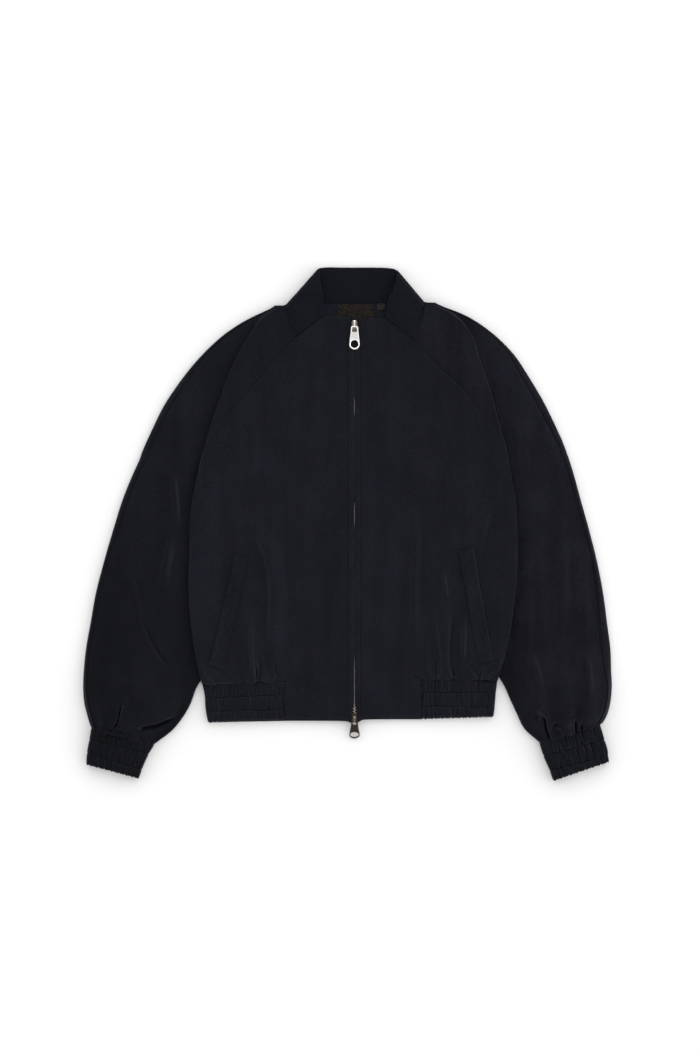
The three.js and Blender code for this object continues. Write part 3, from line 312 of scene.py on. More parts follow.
def slopes(t, p, monotone):
    h = np.diff(t)[:, None]
    d = np.diff(p, axis=0) / h
    a, b, ha, hb = d[:-1], d[1:], h[:-1], h[1:]
    inner = (a * hb + b * ha) / (ha + hb)
    if monotone:
        with np.errstate(all="ignore"):
            harmonic = 3 * (ha + hb) / ((2 * hb + ha) / a + (hb + 2 * ha) / b)
        inner = np.where(a * b > 0, harmonic, 0)
    return np.vstack([d[:1], inner, d[-1:]])


def hermite(t, p, m, u):
    k = np.clip(np.searchsorted(t, u, "right") - 1, 0, len(t) - 2)
    h = (t[k + 1] - t[k])[:, None]
    s = (u - t[k])[:, None] / h
    return ((2 * s**3 - 3 * s**2 + 1) * p[k] + (s**3 - 2 * s**2 + s) * h * m[k]
            + (3 * s**2 - 2 * s**3) * p[k + 1] + (s**3 - s**2) * h * m[k + 1])


def refine(p, steps, breaks=(), monotone=False):
    """Rows of points made finer: steps[i] rows from row i to row i + 1, sharp at breaks."""
    p = np.asarray(p, float)
    flat = p.reshape(len(p), -1)
    chord = np.linalg.norm(np.diff(p, axis=0), axis=-1).reshape(len(p) - 1, -1).mean(axis=1)
    t = np.concatenate([[0], np.cumsum(np.maximum(chord, 0.05))])
    out = []
    ends = [0, *breaks, len(p) - 1]
    for a, b in zip(ends, ends[1:]):
        u = [np.linspace(t[i], t[i + 1], steps[i], endpoint=False) for i in range(a, b)]
        u = np.concatenate(u + ([[t[b]]] if b == ends[-1] else []))
        tt, pp = t[a:b + 1], flat[a:b + 1]
        out.append(hermite(tt, pp, slopes(tt, pp, monotone), u))
    return np.vstack(out).reshape(-1, *p.shape[1:])


def turned(rows):
    return np.asarray(rows, float).transpose(1, 0, 2)


def refine_across(grid, steps, monotone=True):
    return turned(refine(turned(grid), steps, monotone=monotone))


def steps_for(p, spacing, least=1):
    """How many steps each interval between rows takes at that spacing."""
    chord = np.linalg.norm(np.diff(np.asarray(p, float), axis=0), axis=-1)
    chord = chord.reshape(len(p) - 1, -1).max(axis=1)
    spacing = np.broadcast_to(np.asarray(spacing, float) * FINE, chord.shape)
    return np.maximum(least, np.ceil(chord / spacing).astype(int))


def coarse(steps):
    """Which coarse interval each fine one lies in."""
    return np.repeat(np.arange(len(steps)), steps)


def position(steps):
    """Where each fine row lies among the coarse ones, as a real number."""
    return np.concatenate([j + np.arange(n) / n for j, n in enumerate(steps)] + [[len(steps)]])


def grid_of(rows, row_space, col_space, col_least=1):
    """A fine grid through rows of control points, and its steps from column to column."""
    steps = steps_for(turned(rows), col_space, col_least)
    return refine_across(refine(rows, steps_for(rows, row_space)), steps), steps


def across_rows(grid):
    """0 to 1 down the rows of a grid, at each of its points."""
    n, m = grid.shape[:2]
    return np.repeat(np.linspace(0, 1, n)[:, None], m, axis=1)


def crease(x, y, line, left, right, high, start, end):
    """Height of one soft ridge or trough at many points."""
    reach = max(left, right)
    out = np.zeros_like(x)
    pts = np.array(line, float)
    near = ((x > pts[:, 0].min() - reach) & (x < pts[:, 0].max() + reach)
            & (y > pts[:, 1].min() - reach) & (y < pts[:, 1].max() + reach))
    if not near.any():
        return out
    px, py = x[near], y[near]
    q = refine(np.c_[pts, np.zeros(len(pts))], [5] * (len(pts) - 1))[:, :2]
    length = lengths(q)
    best, side, along = np.full(px.shape, 1e9), np.ones(px.shape), np.zeros(px.shape)
    for k in range(len(q) - 1):
        d = q[k + 1] - q[k]
        rx, ry = px - q[k, 0], py - q[k, 1]
        t = np.clip((rx * d[0] + ry * d[1]) / (d @ d), 0, 1)
        far = np.hypot(rx - t * d[0], ry - t * d[1])
        hit = far < best
        best = np.where(hit, far, best)
        side = np.where(hit, np.sign(d[0] * ry - d[1] * rx), side)
        along = np.where(hit, mix(length[k], length[k + 1], t) / length[-1], along)
    r = np.clip(best / np.where(side > 0, left, right), 0, 1)
    fade = smooth(0, start, along) if start else 1
    if end:
        fade = fade * smooth(0, end, 1 - along)
    out[near] = high * (1 - r * r) ** 2 * fade
    return out


def creases(table, x, y):
    return sum(crease(x, y, *row) for row in table)


def waves(x, y, piece, high=0.3, longest=130, shortest=45):
    """Broad, very low undulation that all laid cloth has."""
    rng = np.random.default_rng(SEEDS[piece])
    out = np.zeros_like(x)
    count = 9
    for _ in range(count):
        turn, phase = rng.uniform(0, math.pi), rng.uniform(0, 2 * math.pi)
        size = rng.uniform(shortest, longest)
        out += np.sin((x * math.cos(turn) + y * math.sin(turn)) * 2 * math.pi / size + phase)
    return out * high / math.sqrt(count)


# ------------------------------------------------------------------ meshes
def mesh_object(name, verts, faces, material, sharp):
    """A smooth-shaded object; edges that turn more than sharp degrees stay sharp."""
    mesh = bpy.data.meshes.new(name)
    mesh.from_pydata(((verts + SHIFT) * 0.001).tolist(), [], faces)
    mesh.polygons.foreach_set("use_smooth", np.ones(len(mesh.polygons), bool))
    mesh.set_sharp_from_angle(angle=math.radians(sharp))
    mesh.materials.append(material)
    mesh.validate()
    obj = bpy.data.objects.new(name, mesh)
    bpy.context.collection.objects.link(obj)
    return obj


def unit(vectors):
    return vectors / np.maximum(np.linalg.norm(vectors, axis=1, keepdims=True), 1e-9)


def shell(grid, wall, held=None, loop=False):
    """Vertices and faces of a closed cloth wall round a grid of middle points.
    held: which cells carry cloth. loop: the columns close on themselves."""
    m, n = grid.shape[:2]
    i, j = np.meshgrid(np.arange(m - 1), np.arange(n if loop else n - 1), indexing="ij")
    k = (j + 1) % n
    quads = np.stack([i * n + j, i * n + k, (i + 1) * n + k, (i + 1) * n + j], -1).reshape(-1, 4)
    if held is not None:
        quads = quads[held.ravel()]
    pts = grid.reshape(-1, 3)
    a, b, c, d = (pts[quads[:, q]] for q in range(4))
    face = unit(np.cross(c - a, d - b))
    normal = np.zeros_like(pts)
    for q in range(4):
        np.add.at(normal, quads[:, q], face)
    used = np.unique(quads)
    index = np.full(len(pts), -1)
    index[used] = np.arange(len(used))
    quads = index[quads]
    wall = np.broadcast_to(np.asarray(wall, float), (m, n)).reshape(-1, 1)
    half = (wall / 2 * unit(normal))[used]
    verts = np.vstack([pts[used] + half, pts[used] - half])
    verts[:, 2] = np.maximum(verts[:, 2], LOWEST)
    count = len(used)
    edges = np.vstack([quads[:, [q, (q + 1) % 4]] for q in range(4)])
    key = edges[:, 0] * count + edges[:, 1]
    rim = edges[~np.isin(key, edges[:, 1] * count + edges[:, 0])]
    sides = np.stack([rim[:, 1], rim[:, 0], rim[:, 0] + count, rim[:, 1] + count], -1)
    return verts, np.vstack([quads, quads[:, ::-1] + count, sides]).tolist()


def join(parts):
    """Several meshes' vertices and faces as one."""
    verts, faces = [], []
    for v, f in parts:
        base = len(verts)
        verts += [tuple(p) for p in v]
        faces += [[base + k for k in q] for q in f]
    return np.array(verts), faces


made = {}


def keep(obj, node, body="jacket"):
    """Puts a piece on its body, in place of its CAD node if it has one."""
    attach(obj, body)
    if node:
        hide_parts(node)
    made[obj.name] = obj
    return obj


def cloth_piece(name, grid, wall, material, slot="shell_twill", **options):
    verts, faces = shell(grid, wall, **options)
    keep(mesh_object(name + "_cloth", verts, faces, material, sharp=80), name)


def top_of(piece):
    """A function that gives the height of a cloth piece's upper face at x, y, or None beside it."""
    mesh = made[piece + "_cloth"].data
    tree = BVHTree.FromPolygons([v.co for v in mesh.vertices], [p.vertices for p in mesh.polygons])

    def drop(x, y):
        at = Vector(((x + SHIFT[0]) / 1000, (y + SHIFT[1]) / 1000, OVERHEAD))
        hit = tree.ray_cast(at, Vector((0, 0, -1)))[0]
        return None if hit is None else hit.z * 1000
    return drop


# ------------------------------------------------------------------ materials
class Nodes:
    """A small builder for node trees."""

    def __init__(self, tree):
        self.tree = tree

    def link(self, a, b):
        self.tree.links.new(a, b)

    def node(self, kind, inputs=(), **settings):
        n = self.tree.nodes.new("ShaderNode" + kind)
        for key, value in settings.items():
            setattr(n, key, value)
        for socket, value in dict(inputs).items():
            if isinstance(value, bpy.types.NodeSocket):
                self.link(value, n.inputs[socket])
            else:
                n.inputs[socket].default_value = value
        return n

    def out(self, kind, inputs, **settings):
        return self.node(kind, inputs, **settings).outputs[0]

    def math(self, op, a, b=0.0, c=0.0):
        return self.out("Math", {0: a, 1: b, 2: c}, operation=op)


class Look(Nodes):
    """A material on the principled shader."""

    def __init__(self, name, base, rough, metallic=0.0, specular=0.5):
        self.material = bpy.data.materials.new(name)
        self.material.use_nodes = True
        super().__init__(self.material.node_tree)
        self.bsdf = self.tree.nodes["Principled BSDF"]
        self.base, self.rough, self.bumps = base, rough, None
        self.set("Base Color", (*base, 1))
        self.set("Roughness", rough)
        self.set("Metallic", metallic)
        self.set("Specular IOR Level", specular)

    def set(self, socket, value):
        self.bsdf.inputs[socket].default_value = value

    def feed(self, socket, value):
        self.link(value, self.bsdf.inputs[socket])

    def place(self):
        return self.node("TexCoord").outputs["Object"]

    def place_xyz(self):
        return self.node("SeparateXYZ", {0: self.place()}).outputs

    def noise(self, size_mm, detail=3, rough=0.6, stretch=None, output="Fac"):
        at = self.place()
        if stretch:
            at = self.out("Mapping", {"Vector": at, "Scale": stretch})
        return self.node("TexNoise", {"Vector": at, "Scale": 1000 / size_mm, "Detail": detail,
                                      "Roughness": rough}).outputs[output]

    def lines(self, pitch_mm, angle, wobble=0.0):
        """Parallel lines across the cloth, 0 to 1."""
        at = self.out("Mapping", {"Vector": self.place(), "Rotation": (0, 0, math.radians(angle))})
        return self.node("TexWave", {
            "Vector": at, "Scale": 2 * math.pi / 20 * 1000 / pitch_mm, "Distortion": wobble,
            "Detail": 1.0, "Detail Scale": 1.5}).outputs["Fac"]

    def ease(self, value, low, high, at_low, at_high):
        """A smooth change of a factor while the value goes from low to high."""
        return self.out("MapRange", {"Value": value, "From Min": low, "From Max": high,
                                     "To Min": at_low, "To Max": at_high},
                        interpolation_type="SMOOTHSTEP")

    def scaled(self, color, factor):
        return self.out("VectorMath", {0: color, "Scale": factor}, operation="SCALE")

    def swing(self, value, weight, middle):
        """middle + weight x (value - 0.5)"""
        return self.math("MULTIPLY_ADD", self.math("SUBTRACT", value, 0.5), weight, middle)

    def vary(self, *terms):
        """Base colour times 1 + the sum of weight x (value - 0.5)."""
        total = 1.0
        for value, weight in terms:
            total = self.swing(value, weight, total)
        self.color = self.scaled(self.base, total)
        self.feed("Base Color", self.color)

    def vary_rough(self, value, weight):
        self.feed("Roughness", self.swing(value, weight, self.rough))

    def bump(self, height, distance_mm, strength):
        inputs = {"Height": height, "Distance": distance_mm / 1000, "Strength": strength}
        if self.bumps is not None:
            inputs["Normal"] = self.bumps
        self.bumps = self.out("Bump", inputs)
        self.feed("Normal", self.bumps)


def twill(name, base, rough=0.52, specular=0.085, painted_shade=None, painted_edge_light=None, tone_and_sheen_drift=1.0):
    """Fine twill. painted_shade = (y low, y high, factor low): a slow change of depth along the
    piece, painted shade that darkens it toward y low.
    painted_edge_light = (z low, z high, factor): painted highlight, the cloth lighter high up along
    its turned edge, where that edge faces the light.
    tone_and_sheen_drift: how far its depth drifts over a hand's breadth, in broad drifts of its own
    tone and in long streaks of painted sheen."""
    look = Look(name, base, rough, specular=specular)
    look.set("Specular Tint", (0.82, 0.86, 1.0, 1))
    rib = look.lines(pitch_mm=0.62, angle=62, wobble=0.4)
    grain, broad = look.noise(2.6, 2, 0.75), look.noise(55)
    # long streaks of painted sheen; the broad noise is drift of the cloth's own tone
    sheen_streak = look.noise(22, stretch=(1, 0.12, 1))
    look.vary((rib, 0.15), (grain, 1.6), (broad, 0.6 * tone_and_sheen_drift), (sheen_streak, 0.75 * tone_and_sheen_drift))
    # threads of two dyes: a bluer and a browner
    dyes = look.noise(3.1, 3, 0.75, output="Color")
    tint = look.out("VectorMath", {0: dyes, 1: (2.2, 0.5, 1.9), 2: (-0.1, 0.75, 0.05)},
                    operation="MULTIPLY_ADD")
    mixed = look.out("VectorMath", {0: look.color, 1: tint}, operation="MULTIPLY")
    # painted shade: the cloth darker toward the piece's low y
    if painted_shade:
        y0, y1, low = painted_shade
        mixed = look.scaled(mixed, look.ease(
            look.place_xyz()["Y"], (y0 + SHIFT[1]) / 1000, (y1 + SHIFT[1]) / 1000, low, 1.0))
    # painted highlight: lighter high up on the turned edge
    if painted_edge_light:
        z0, z1, high = painted_edge_light
        mixed = look.scaled(mixed, look.ease(
            look.place_xyz()["Z"], z0 / 1000, z1 / 1000, 1.0, high))
    look.feed("Base Color", mixed)
    look.vary_rough(broad, 0.12)
    look.bump(rib, 0.05, 0.35)
    look.bump(grain, 0.12, 0.3)
    return look.material


def ribbed(name, base):
    """Knit collar: staggered rows of small stitches that run down toward the neck on both wings."""
    row_pitch, stitch_pitch, turn = 0.0031, 0.0033, math.radians(21)
    look = Look(name, base, 0.8, specular=0.08)
    xyz = look.place_xyz()
    x = look.math("ABSOLUTE", look.math("SUBTRACT", xyz[0], float(SHIFT[0]) / 1000))
    along = look.math("ADD", look.math("MULTIPLY", x, math.cos(turn)),
                      look.math("MULTIPLY", xyz[1], math.sin(turn)))
    across = look.math("SUBTRACT", look.math("MULTIPLY", xyz[1], math.cos(turn)),
                       look.math("MULTIPLY", x, math.sin(turn)))
    row = look.math("COSINE", look.math("MULTIPLY", across, 2 * math.pi / row_pitch))
    dot = look.math("COSINE", look.math("MULTIPLY", along, 2 * math.pi / stitch_pitch))
    stitch = look.math("MULTIPLY", row, look.math("MULTIPLY_ADD", dot, 0.4, 0.75))
    knit = look.math("MULTIPLY_ADD", stitch, 0.45, 0.5)
    # the rows lie open on the turned-down wings and close up where the collar stands
    knit = look.swing(knit, look.ease(x, 0.046, 0.060, 0.12, 1.0), 0.5)
    grain = look.noise(2.2, 2, 0.75)
    look.vary((knit, 1.5), (grain, 2.1), (look.noise(40), 0.2))
    look.bump(knit, 0.5, 0.8)
    look.bump(grain, 0.15, 0.35)
    return look.material


def metal(name, base, rough, wear=0.12, dark=0.0):
    """wear: how far its roughness drifts. dark: how deep its tarnish is."""
    look = Look(name, base, rough, metallic=1.0)
    grain = look.noise(1.6, 4, 0.7)
    look.vary((look.noise(7, 2), 0.18), (grain, dark))
    look.vary_rough(grain, wear)
    look.bump(grain, 0.02, 0.25)
    return look.material


def woven(name, base, pitch=0.9):
    look = Look(name, base, 0.85, specular=0.08)
    both = look.math("MULTIPLY", look.lines(pitch, 0), look.lines(pitch * 1.3, 90))
    look.vary((both, 0.8), (look.noise(2.4, 2), 2.4), (look.noise(9), 0.5))
    look.bump(both, 0.12, 0.6)
    return look.material


BODY = (0.0066, 0.0071, 0.0101)
RIGHT_SLEEVE = (0.0067, 0.0068, 0.0098)


def toned(factor):
    return tuple(c * factor for c in BODY)


def toned_pair(name, **factors):
    return {side: twill(name + "_" + side, toned(factor)) for side, factor in factors.items()}


# The left sleeve's cloth is painted darker than the right one's: painted shade, as more light comes
# from the right.
SHADED_LEFT_SLEEVE = dict(base=toned(0.86), painted_shade=(20, 420, 0.7))
shell_twill = twill("shell_twill", BODY)
# Both sleeves and their backs are painted darker toward the cuff: painted shade.
sleeve_twill = {
    "left": twill("sleeve_twill_left", **SHADED_LEFT_SLEEVE),
    "right": twill("sleeve_twill_right", RIGHT_SLEEVE, painted_shade=(0, 240, 0.74), tone_and_sheen_drift=1.8)}
# The sleeves' backs are painted lighter along the top of their rolled edges: painted highlight.
sleeve_back_twill = {
    "left": twill("sleeve_back_twill_left", **SHADED_LEFT_SLEEVE, painted_edge_light=(1.9, 3.0, 1.5)),
    "right": twill("sleeve_back_twill_right", RIGHT_SLEEVE, painted_shade=(0, 240, 0.8),
                   painted_edge_light=(1.9, 3.0, 1.4))}
# painted shade: the left copies of the band and cuff cloth are darker than the right ones
band_twill = toned_pair("band_twill", left=0.88, right=0.97)
cuff_twill = toned_pair("cuff_twill", left=0.56, right=0.72)
facing_twill = twill("facing_twill", (0.0078, 0.0092, 0.0135))
collar_rib = ribbed("collar_rib", (0.0037, 0.0046, 0.0075))
tape_cloth = woven("tape_cloth", (0.0045, 0.0047, 0.0060))
label_cloth = woven("label_cloth", (0.0150, 0.0123, 0.0104), 1.1)
tab_cloth = woven("tab_cloth", (0.0250, 0.0215, 0.0195), 0.7)
# The thread is near black, far darker than the cloth: partly its own dark colour, partly painted
# shade of the pits where the stitches sink in.
thread_and_pit_shade = twill("thread_and_pit_shade", toned(0.22), rough=0.7, specular=0.03)
bar_thread = twill("bar_thread", toned(1.5), rough=0.45, specular=0.2)
silver = metal("silver_metal", (0.97, 0.955, 0.93), 0.5, wear=0.08)
nickel = metal("nickel_metal", (0.30, 0.25, 0.205), 0.28, dark=0.4)
antique = metal("dark_metal", (0.085, 0.068, 0.058), 0.22, dark=0.5)
teeth_metal = metal("teeth_metal", (0.80, 0.74, 0.69), 0.35, dark=0.2)


# ------------------------------------------------------------------ sleeves
# Shares of the way from the raglan seam to the fold, and of the run on to the overarm seam
TOP_SPLIT = [0, 0.35, 0.7]
RUN_SPLIT = [0, 0.12, 0.32, 0.55, 0.78, 1]
TOP_COLS = 7  # columns from the raglan seam to the under side of the fold; the rest run on below
RUN_START = 9  # first column of the run from the fold to the overarm seam
UNDER = 2.6  # least height of the sleeve's upper layer


def sleeve_rows(side):
    return ([dict(zip(UPPER_KEYS.split(), row)) for row in UPPER_SLEEVE[side]]
            + [dict(zip(LOWER_KEYS.split(), row)) for row in LOWER_SLEEVE[side]])


def signed(side, grid):
    return np.asarray(grid, float) * np.array([SIDES[side], 1, 1])


def point(row, key):
    return xy(row[key + "X"], row[key + "Y"])


def seam_height(row):
    return 3.0 + 0.3 * row["puff"]


def overarm(row, clear):
    inside = point(row, "ridge" if "ridgeX" in row else "inner")
    return toward(point(row, "edge"), inside, row["inset"] + clear)


def outer_run(row, start):
    """From start up over the puffed sleeve and down to its overarm seam."""
    seam = overarm(row, -0.9)
    out = []
    for t in RUN_SPLIT:
        puff = row["puff"] * math.sin(math.pi * min(1, 0.03 + 0.93 * t ** 1.15))
        z = max(UNDER, mix(start[2], seam_height(row), t) + puff)
        out.append((*mix(start[:2], seam, t),
                    start[2] if t == 0 else seam_height(row) if t == 1 else z))
    return out


def fold_points(row):
    """The fold over the raglan seam: its ridge, its under side and the tuck back under it."""
    under = row["ridgeZ"] - RIDGE_DROP
    strip = min(2.6, under - 1.8)
    tuck = row["tuck"]
    folded = [(-1.0, row["ridgeZ"]), (-HALF, (row["ridgeZ"] + under) / 2), (-1.0, under),
              (0.9 - tuck, under), (-tuck, (under + strip) / 2), (0.9 - tuck, strip)]
    flat = [(-4, 0.1), (-2, 0.1), (0, 0), (2, -0.2), (4, -0.4), (6, -0.6)]
    return [(row["ridgeX"] + mix(v, u, row["fold"]), row["ridgeY"],
             mix(row["ridgeZ"] + h, z, row["fold"])) for (u, z), (v, h) in zip(folded, flat)]


def upper_row(row):
    fold = fold_points(row)
    start = np.array([row["seamX"] + 0.1, row["seamY"] + 0.1, row["seamZ"]])
    top = []
    for t in TOP_SPLIT:
        p = mix(start, np.array(fold[0]), t)
        p[2] = mix(start[2], fold[0][2], smooth(0, 1, t))
        top.append(tuple(p))
    inner = fold[-1]
    run = np.array([max(row["ridgeX"] - 2, inner[0] + 2), row["ridgeY"], inner[2]])
    return top + fold + outer_run(row, run)


def lower_row(row):
    inner, edge = point(row, "inner"), point(row, "edge")
    turn = (row["innerZ"] - HALF) / 2
    ends = [(*toward(inner, edge, mm), z) for mm, z in (
        (HALF + 7, HALF), (HALF, HALF + turn), (HALF + turn, row["innerZ"]))]
    cover = (*toward(inner, edge, row["coverX"] - row["innerX"] - 2), row["innerZ"])
    return [ends[0]] * 6 + ends + outer_run(row, np.array(cover))


# Where the gathered end of a sleeve is pinched at the cuff; its lobes hang over it between them.
CUFF_PINCH = {"left": [-394, -366, -354, -342, -322, -301],
              "right": [280, 294, 314, 333, 340, 346, 368]}


def lobes(x, pinches):
    """How far the cloth hangs over the seam between its pinches."""
    depth = 3.2
    pinches = np.array(pinches, float)
    k = np.clip(np.searchsorted(pinches, x) - 1, 0, len(pinches) - 2)
    wide = pinches[k + 1] - pinches[k]
    t = np.clip((x - pinches[k]) / wide, 0, 1)
    return depth * np.sqrt(np.sin(math.pi * t).clip(0)) * np.minimum(1, 0.45 + wide / 40)


# Column steps of a sleeve's front: spacing in mm, least number, and least in the fine mesh
SLEEVE_COLUMNS = [[3, 3, 3, 1, 1, 3, 1, 1, 3, 3, 2.3, 2.3, 2.3, 2.0],
                  [2, 2, 2, 4, 4, 3, 3, 3, 2, 2, 4, 6, 6, 6],
                  [2, 2, 2, 4, 4, 3, 3, 3, 2, 3, 13, 18, 18, 22]]
OVERARM_DARK_ROWS = (3.7, 0.5)  # how far each dark row of stitches lies from the sleeve front's edge; the row at 0.5 mm lies on the lap's edge, where it stands for the shadow there: painted shade
overarm_lines = {}


def sleeve_front(side):
    u = len(UPPER_SLEEVE[side])
    rows = sleeve_rows(side)
    rows = signed(side, [upper_row(r) for r in rows[:u]] + [lower_row(r) for r in rows[u:]])
    height = rows[1:, -1, 1]
    steps = steps_for(rows, np.where(height > 150, 3.8, np.where(height > 80, 2.5, 1.5)))
    grid = np.concatenate([refine(rows[:, :TOP_COLS], steps, [u - 1, u]),
                           refine(rows[:, TOP_COLS:], steps)], axis=1)
    space, least, fine_least = SLEEVE_COLUMNS
    col_steps = steps_for(turned(rows)[:, :u + 2], space, least)
    col_steps = np.maximum(col_steps, fine_least if FINE == 1 else 1)
    grid = refine_across(grid, col_steps)
    i, j = coarse(steps)[:, None], coarse(col_steps)[None, :]
    held = (i < u - 1) | (j >= 7) | ((i > u - 1) & (j >= 6))
    r, c = position(steps)[:, None], position(col_steps)[None, :]
    x, y = grid[..., 0], grid[..., 1]
    open_top = smooth(RUN_START + 0.1, RUN_START + 0.9, c) * smooth(14, 13.4, c)
    shoulder = smooth(0.1, 1.2, c) * smooth(3, 2, c) * (r < u - 0.5)
    relief = creases(SLEEVE_CREASES, x, y) * open_top
    relief += waves(x, y, "sleeve_front_" + side, 0.45) * (open_top + 0.7 * shoulder)
    z = grid[..., 2] + relief
    # the gathered end hangs in lobes over the cuff and turns under
    last = r[-1, 0]
    near = smooth(last - 0.9, last, r) * open_top ** 0.3
    out = lobes(x, CUFF_PINCH[side]) * near
    z = z + near * 1.8 * np.minimum(1, out / 2)
    down = (SIDES[side] * 0.12, -0.97)
    grid = np.dstack([x + down[0] * out, y + down[1] * out,
                      np.maximum(z, np.where(c > RUN_START, UNDER, 0.5))])
    # a shallow groove along the raglan seam and a raised overarm seam
    grid[..., 2] -= 0.5 * smooth(0.3, 0, c) * (r < u - 0.2)
    seam_gap = np.linalg.norm(grid[..., :2] - grid[:, -1:, :2], axis=-1)
    grid[..., 2] += (0.35 * smooth(3.2, 1.6, seam_gap) - 0.6 * bell(seam_gap - 3.6, 0.8)
                     + 0.25 * bell(seam_gap - 5.4, 1.0)) * (c > 12)
    # the row on the lap's edge is painted shade of that edge's shadow
    overarm_lines[side] = [[toward(grid[k, -1, :2], grid[k, -8, :2], gap)
                            for k in range(0, len(grid) - 4, 2)] for gap in OVERARM_DARK_ROWS]
    lip = grid[-1:].copy()
    lip[..., 1] += 2.0
    lip[..., 2] = np.maximum(lip[..., 2] - 1.8, 0.6)
    mid = (grid[-1:] + lip) / 2 + np.array([0, -0.9, 0])
    grid = np.concatenate([grid, mid, lip])
    held = np.concatenate([held, held[-1:], held[-1:]])
    cloth_piece("sleeve_front_" + side, grid, CLOTH, sleeve_twill[side], held=held)


def sleeve_back(side):
    rows = []
    for row in sleeve_rows(side):
        edge = point(row, "edge")
        inner = (point(row, "back") if "backX" in row
                 else toward(point(row, "inner"), edge, HALF + 7.2))
        top = seam_height(row)
        turn = min((top - HALF) / 2, 1.0)
        landing = toward(edge, inner, HALF + turn)
        rows.append([(*mix(inner, landing, t), HALF) for t in (0, 0.4, 0.8, 1)] + [
            (*toward(edge, inner, HALF), HALF + turn),
            (*toward(edge, inner, min(HALF + turn + 0.3, row["inset"] - 1.4)),
             min(HALF + 2 * turn + 0.15, top - 0.2)),
            (*overarm(row, 0), top)])
    grid, steps = grid_of(signed(side, rows), 5, [8, 8, 5, 1.2, 1.2, 2.5],
                          col_least=[4, 4, 3, 4, 4, 3])
    c = position(steps)[None, :]
    x, y = grid[..., 0], grid[..., 1]
    relief = creases(SLEEVE_BACK_CREASES, x, y) + waves(x, y, "sleeve_back_" + side)
    grid[..., 2] += np.maximum(0, relief) * smooth(0, 0.6, c) * smooth(3, 2.3, c)
    grid[..., 2] -= 0.3 * smooth(5.4, 5.8, c)
    cloth_piece("sleeve_back_" + side, grid, CLOTH, sleeve_back_twill[side])


# ------------------------------------------------------------------ fronts and back
# Shares of the way from the zip edge to a panel's middle, and on from there to its far edge
NEAR_SPLIT = [0, 0.1, 0.4, 0.7, 1]
FAR_SPLIT = [0.3, 0.6, 0.84, 1]
PANEL_COLS = 8  # cells from the zip edge to the ridge of the side fold
PLACKET = {"left": 9.7, "right": 8.5}  # row of stitches beside the zip
BAND_LINE = {  # lower edge of the gathered front, where it hangs over the elastic
    "left": [(-233, 56), (-228, 55.5), (-213, 51.2), (-207, 53.2), (-201, 54.6), (-172, 54.6),
             (-166, 56.2), (-158, 53.8), (-152, 54.6), (-146.5, 59), (-140, 59), (-133.5, 56.2),
             (-126, 55.4), (-119, 59), (-114, 59), (-107, 58), (-104.6, 58.5)],
    "right": [(100, 60.5), (105, 59.2), (110.5, 60.6), (114, 59.4), (120.5, 61.2), (124, 60.8),
              (132, 58.6), (141, 60.4), (147, 61.6), (151, 60.8), (158, 58.4), (168, 58.6),
              (178, 60.2), (185.5, 61.4), (190, 59.6), (197, 61), (205, 59.2), (215, 59.6)],
}
# Column steps of a front: spacing in mm and least number
FRONT_COLUMNS = [[0.9, 2.2, 2.6, 2.6, 1.7, 1.7, 1.7, 1.7, 1, 1, 4, 1.5, 1.5],
                 [8, 6, 6, 6, 6, 6, 6, 6, 6, 6, 3, 3, 2]]


def half_gap(y):
    """Half the gap between the two front edges at that height."""
    t = np.array(PARTING, float)[::-1]
    k = np.clip(np.searchsorted(t[:, 0], y) - 1, 0, len(t) - 2)
    s = (y - t[k, 0]) / (t[k + 1, 0] - t[k, 0])
    return mix(t[k, 1], t[k + 1, 1], smooth(0, 1, s))


def panel_points(y, edge, mid):
    """One row of a front, from the zip edge to the far edge, sagging between them."""
    zip_x = float(half_gap(np.array([y]))[0])
    out = []
    for x in [mix(zip_x, mid, t) for t in NEAR_SPLIT] + [mix(mid, edge[0], t) for t in FAR_SPLIT]:
        t = x / edge[0]
        sag = mix(mix(5.2, 4.5, smooth(0.03, 0.4, t)), edge[2], smooth(0.72, 1, t))
        out.append((x, mix(y, edge[1], smooth(0, 1, t)),
                    edge[2] if abs(x - edge[0]) < 0.01 else sag))
    return out


def front_rows(side):
    """Rows of a front with its side fold, where it has one, and how many are above and on it."""
    upper = [panel_points(y, (ex, ey, ez), mid) for y, ex, ey, ez, mid in UPPER_FRONT[side]]
    lower, folds = [], []
    for y, ridge, ridge_z, under, mid in LOWER_FRONT[side]:
        lower.append(panel_points(y, (ridge - 1.0, y, ridge_z), mid))
        folds.append([(ridge - mm, y, z) for mm, z in (
            (HALF, (ridge_z + under) / 2), (1.0, under), (17, under), (22.5, HALF), (25.5, HALF))])
    hem = []
    for zip_y, split_y in HEM_ROWS[side]:
        zip_x = float(half_gap(np.array([zip_y]))[0])
        hem.append([(mix(zip_x, HEM_SPLIT[side], t), mix(zip_y, split_y, smooth(0, 0.13, t)), p[2])
                    for t, p in zip(NEAR_SPLIT + [1] * 4, lower[-1])])
    before = [(2 * a[0] - b[0], 2 * a[1] - b[1], a[2]) for a, b in zip(*folds[:2])]
    folds = [before] * len(upper) + folds + [folds[-1]] * len(hem)
    rows = [a + b for a, b in zip(upper + lower + hem, folds)]
    return signed(side, rows), len(upper), len(lower)


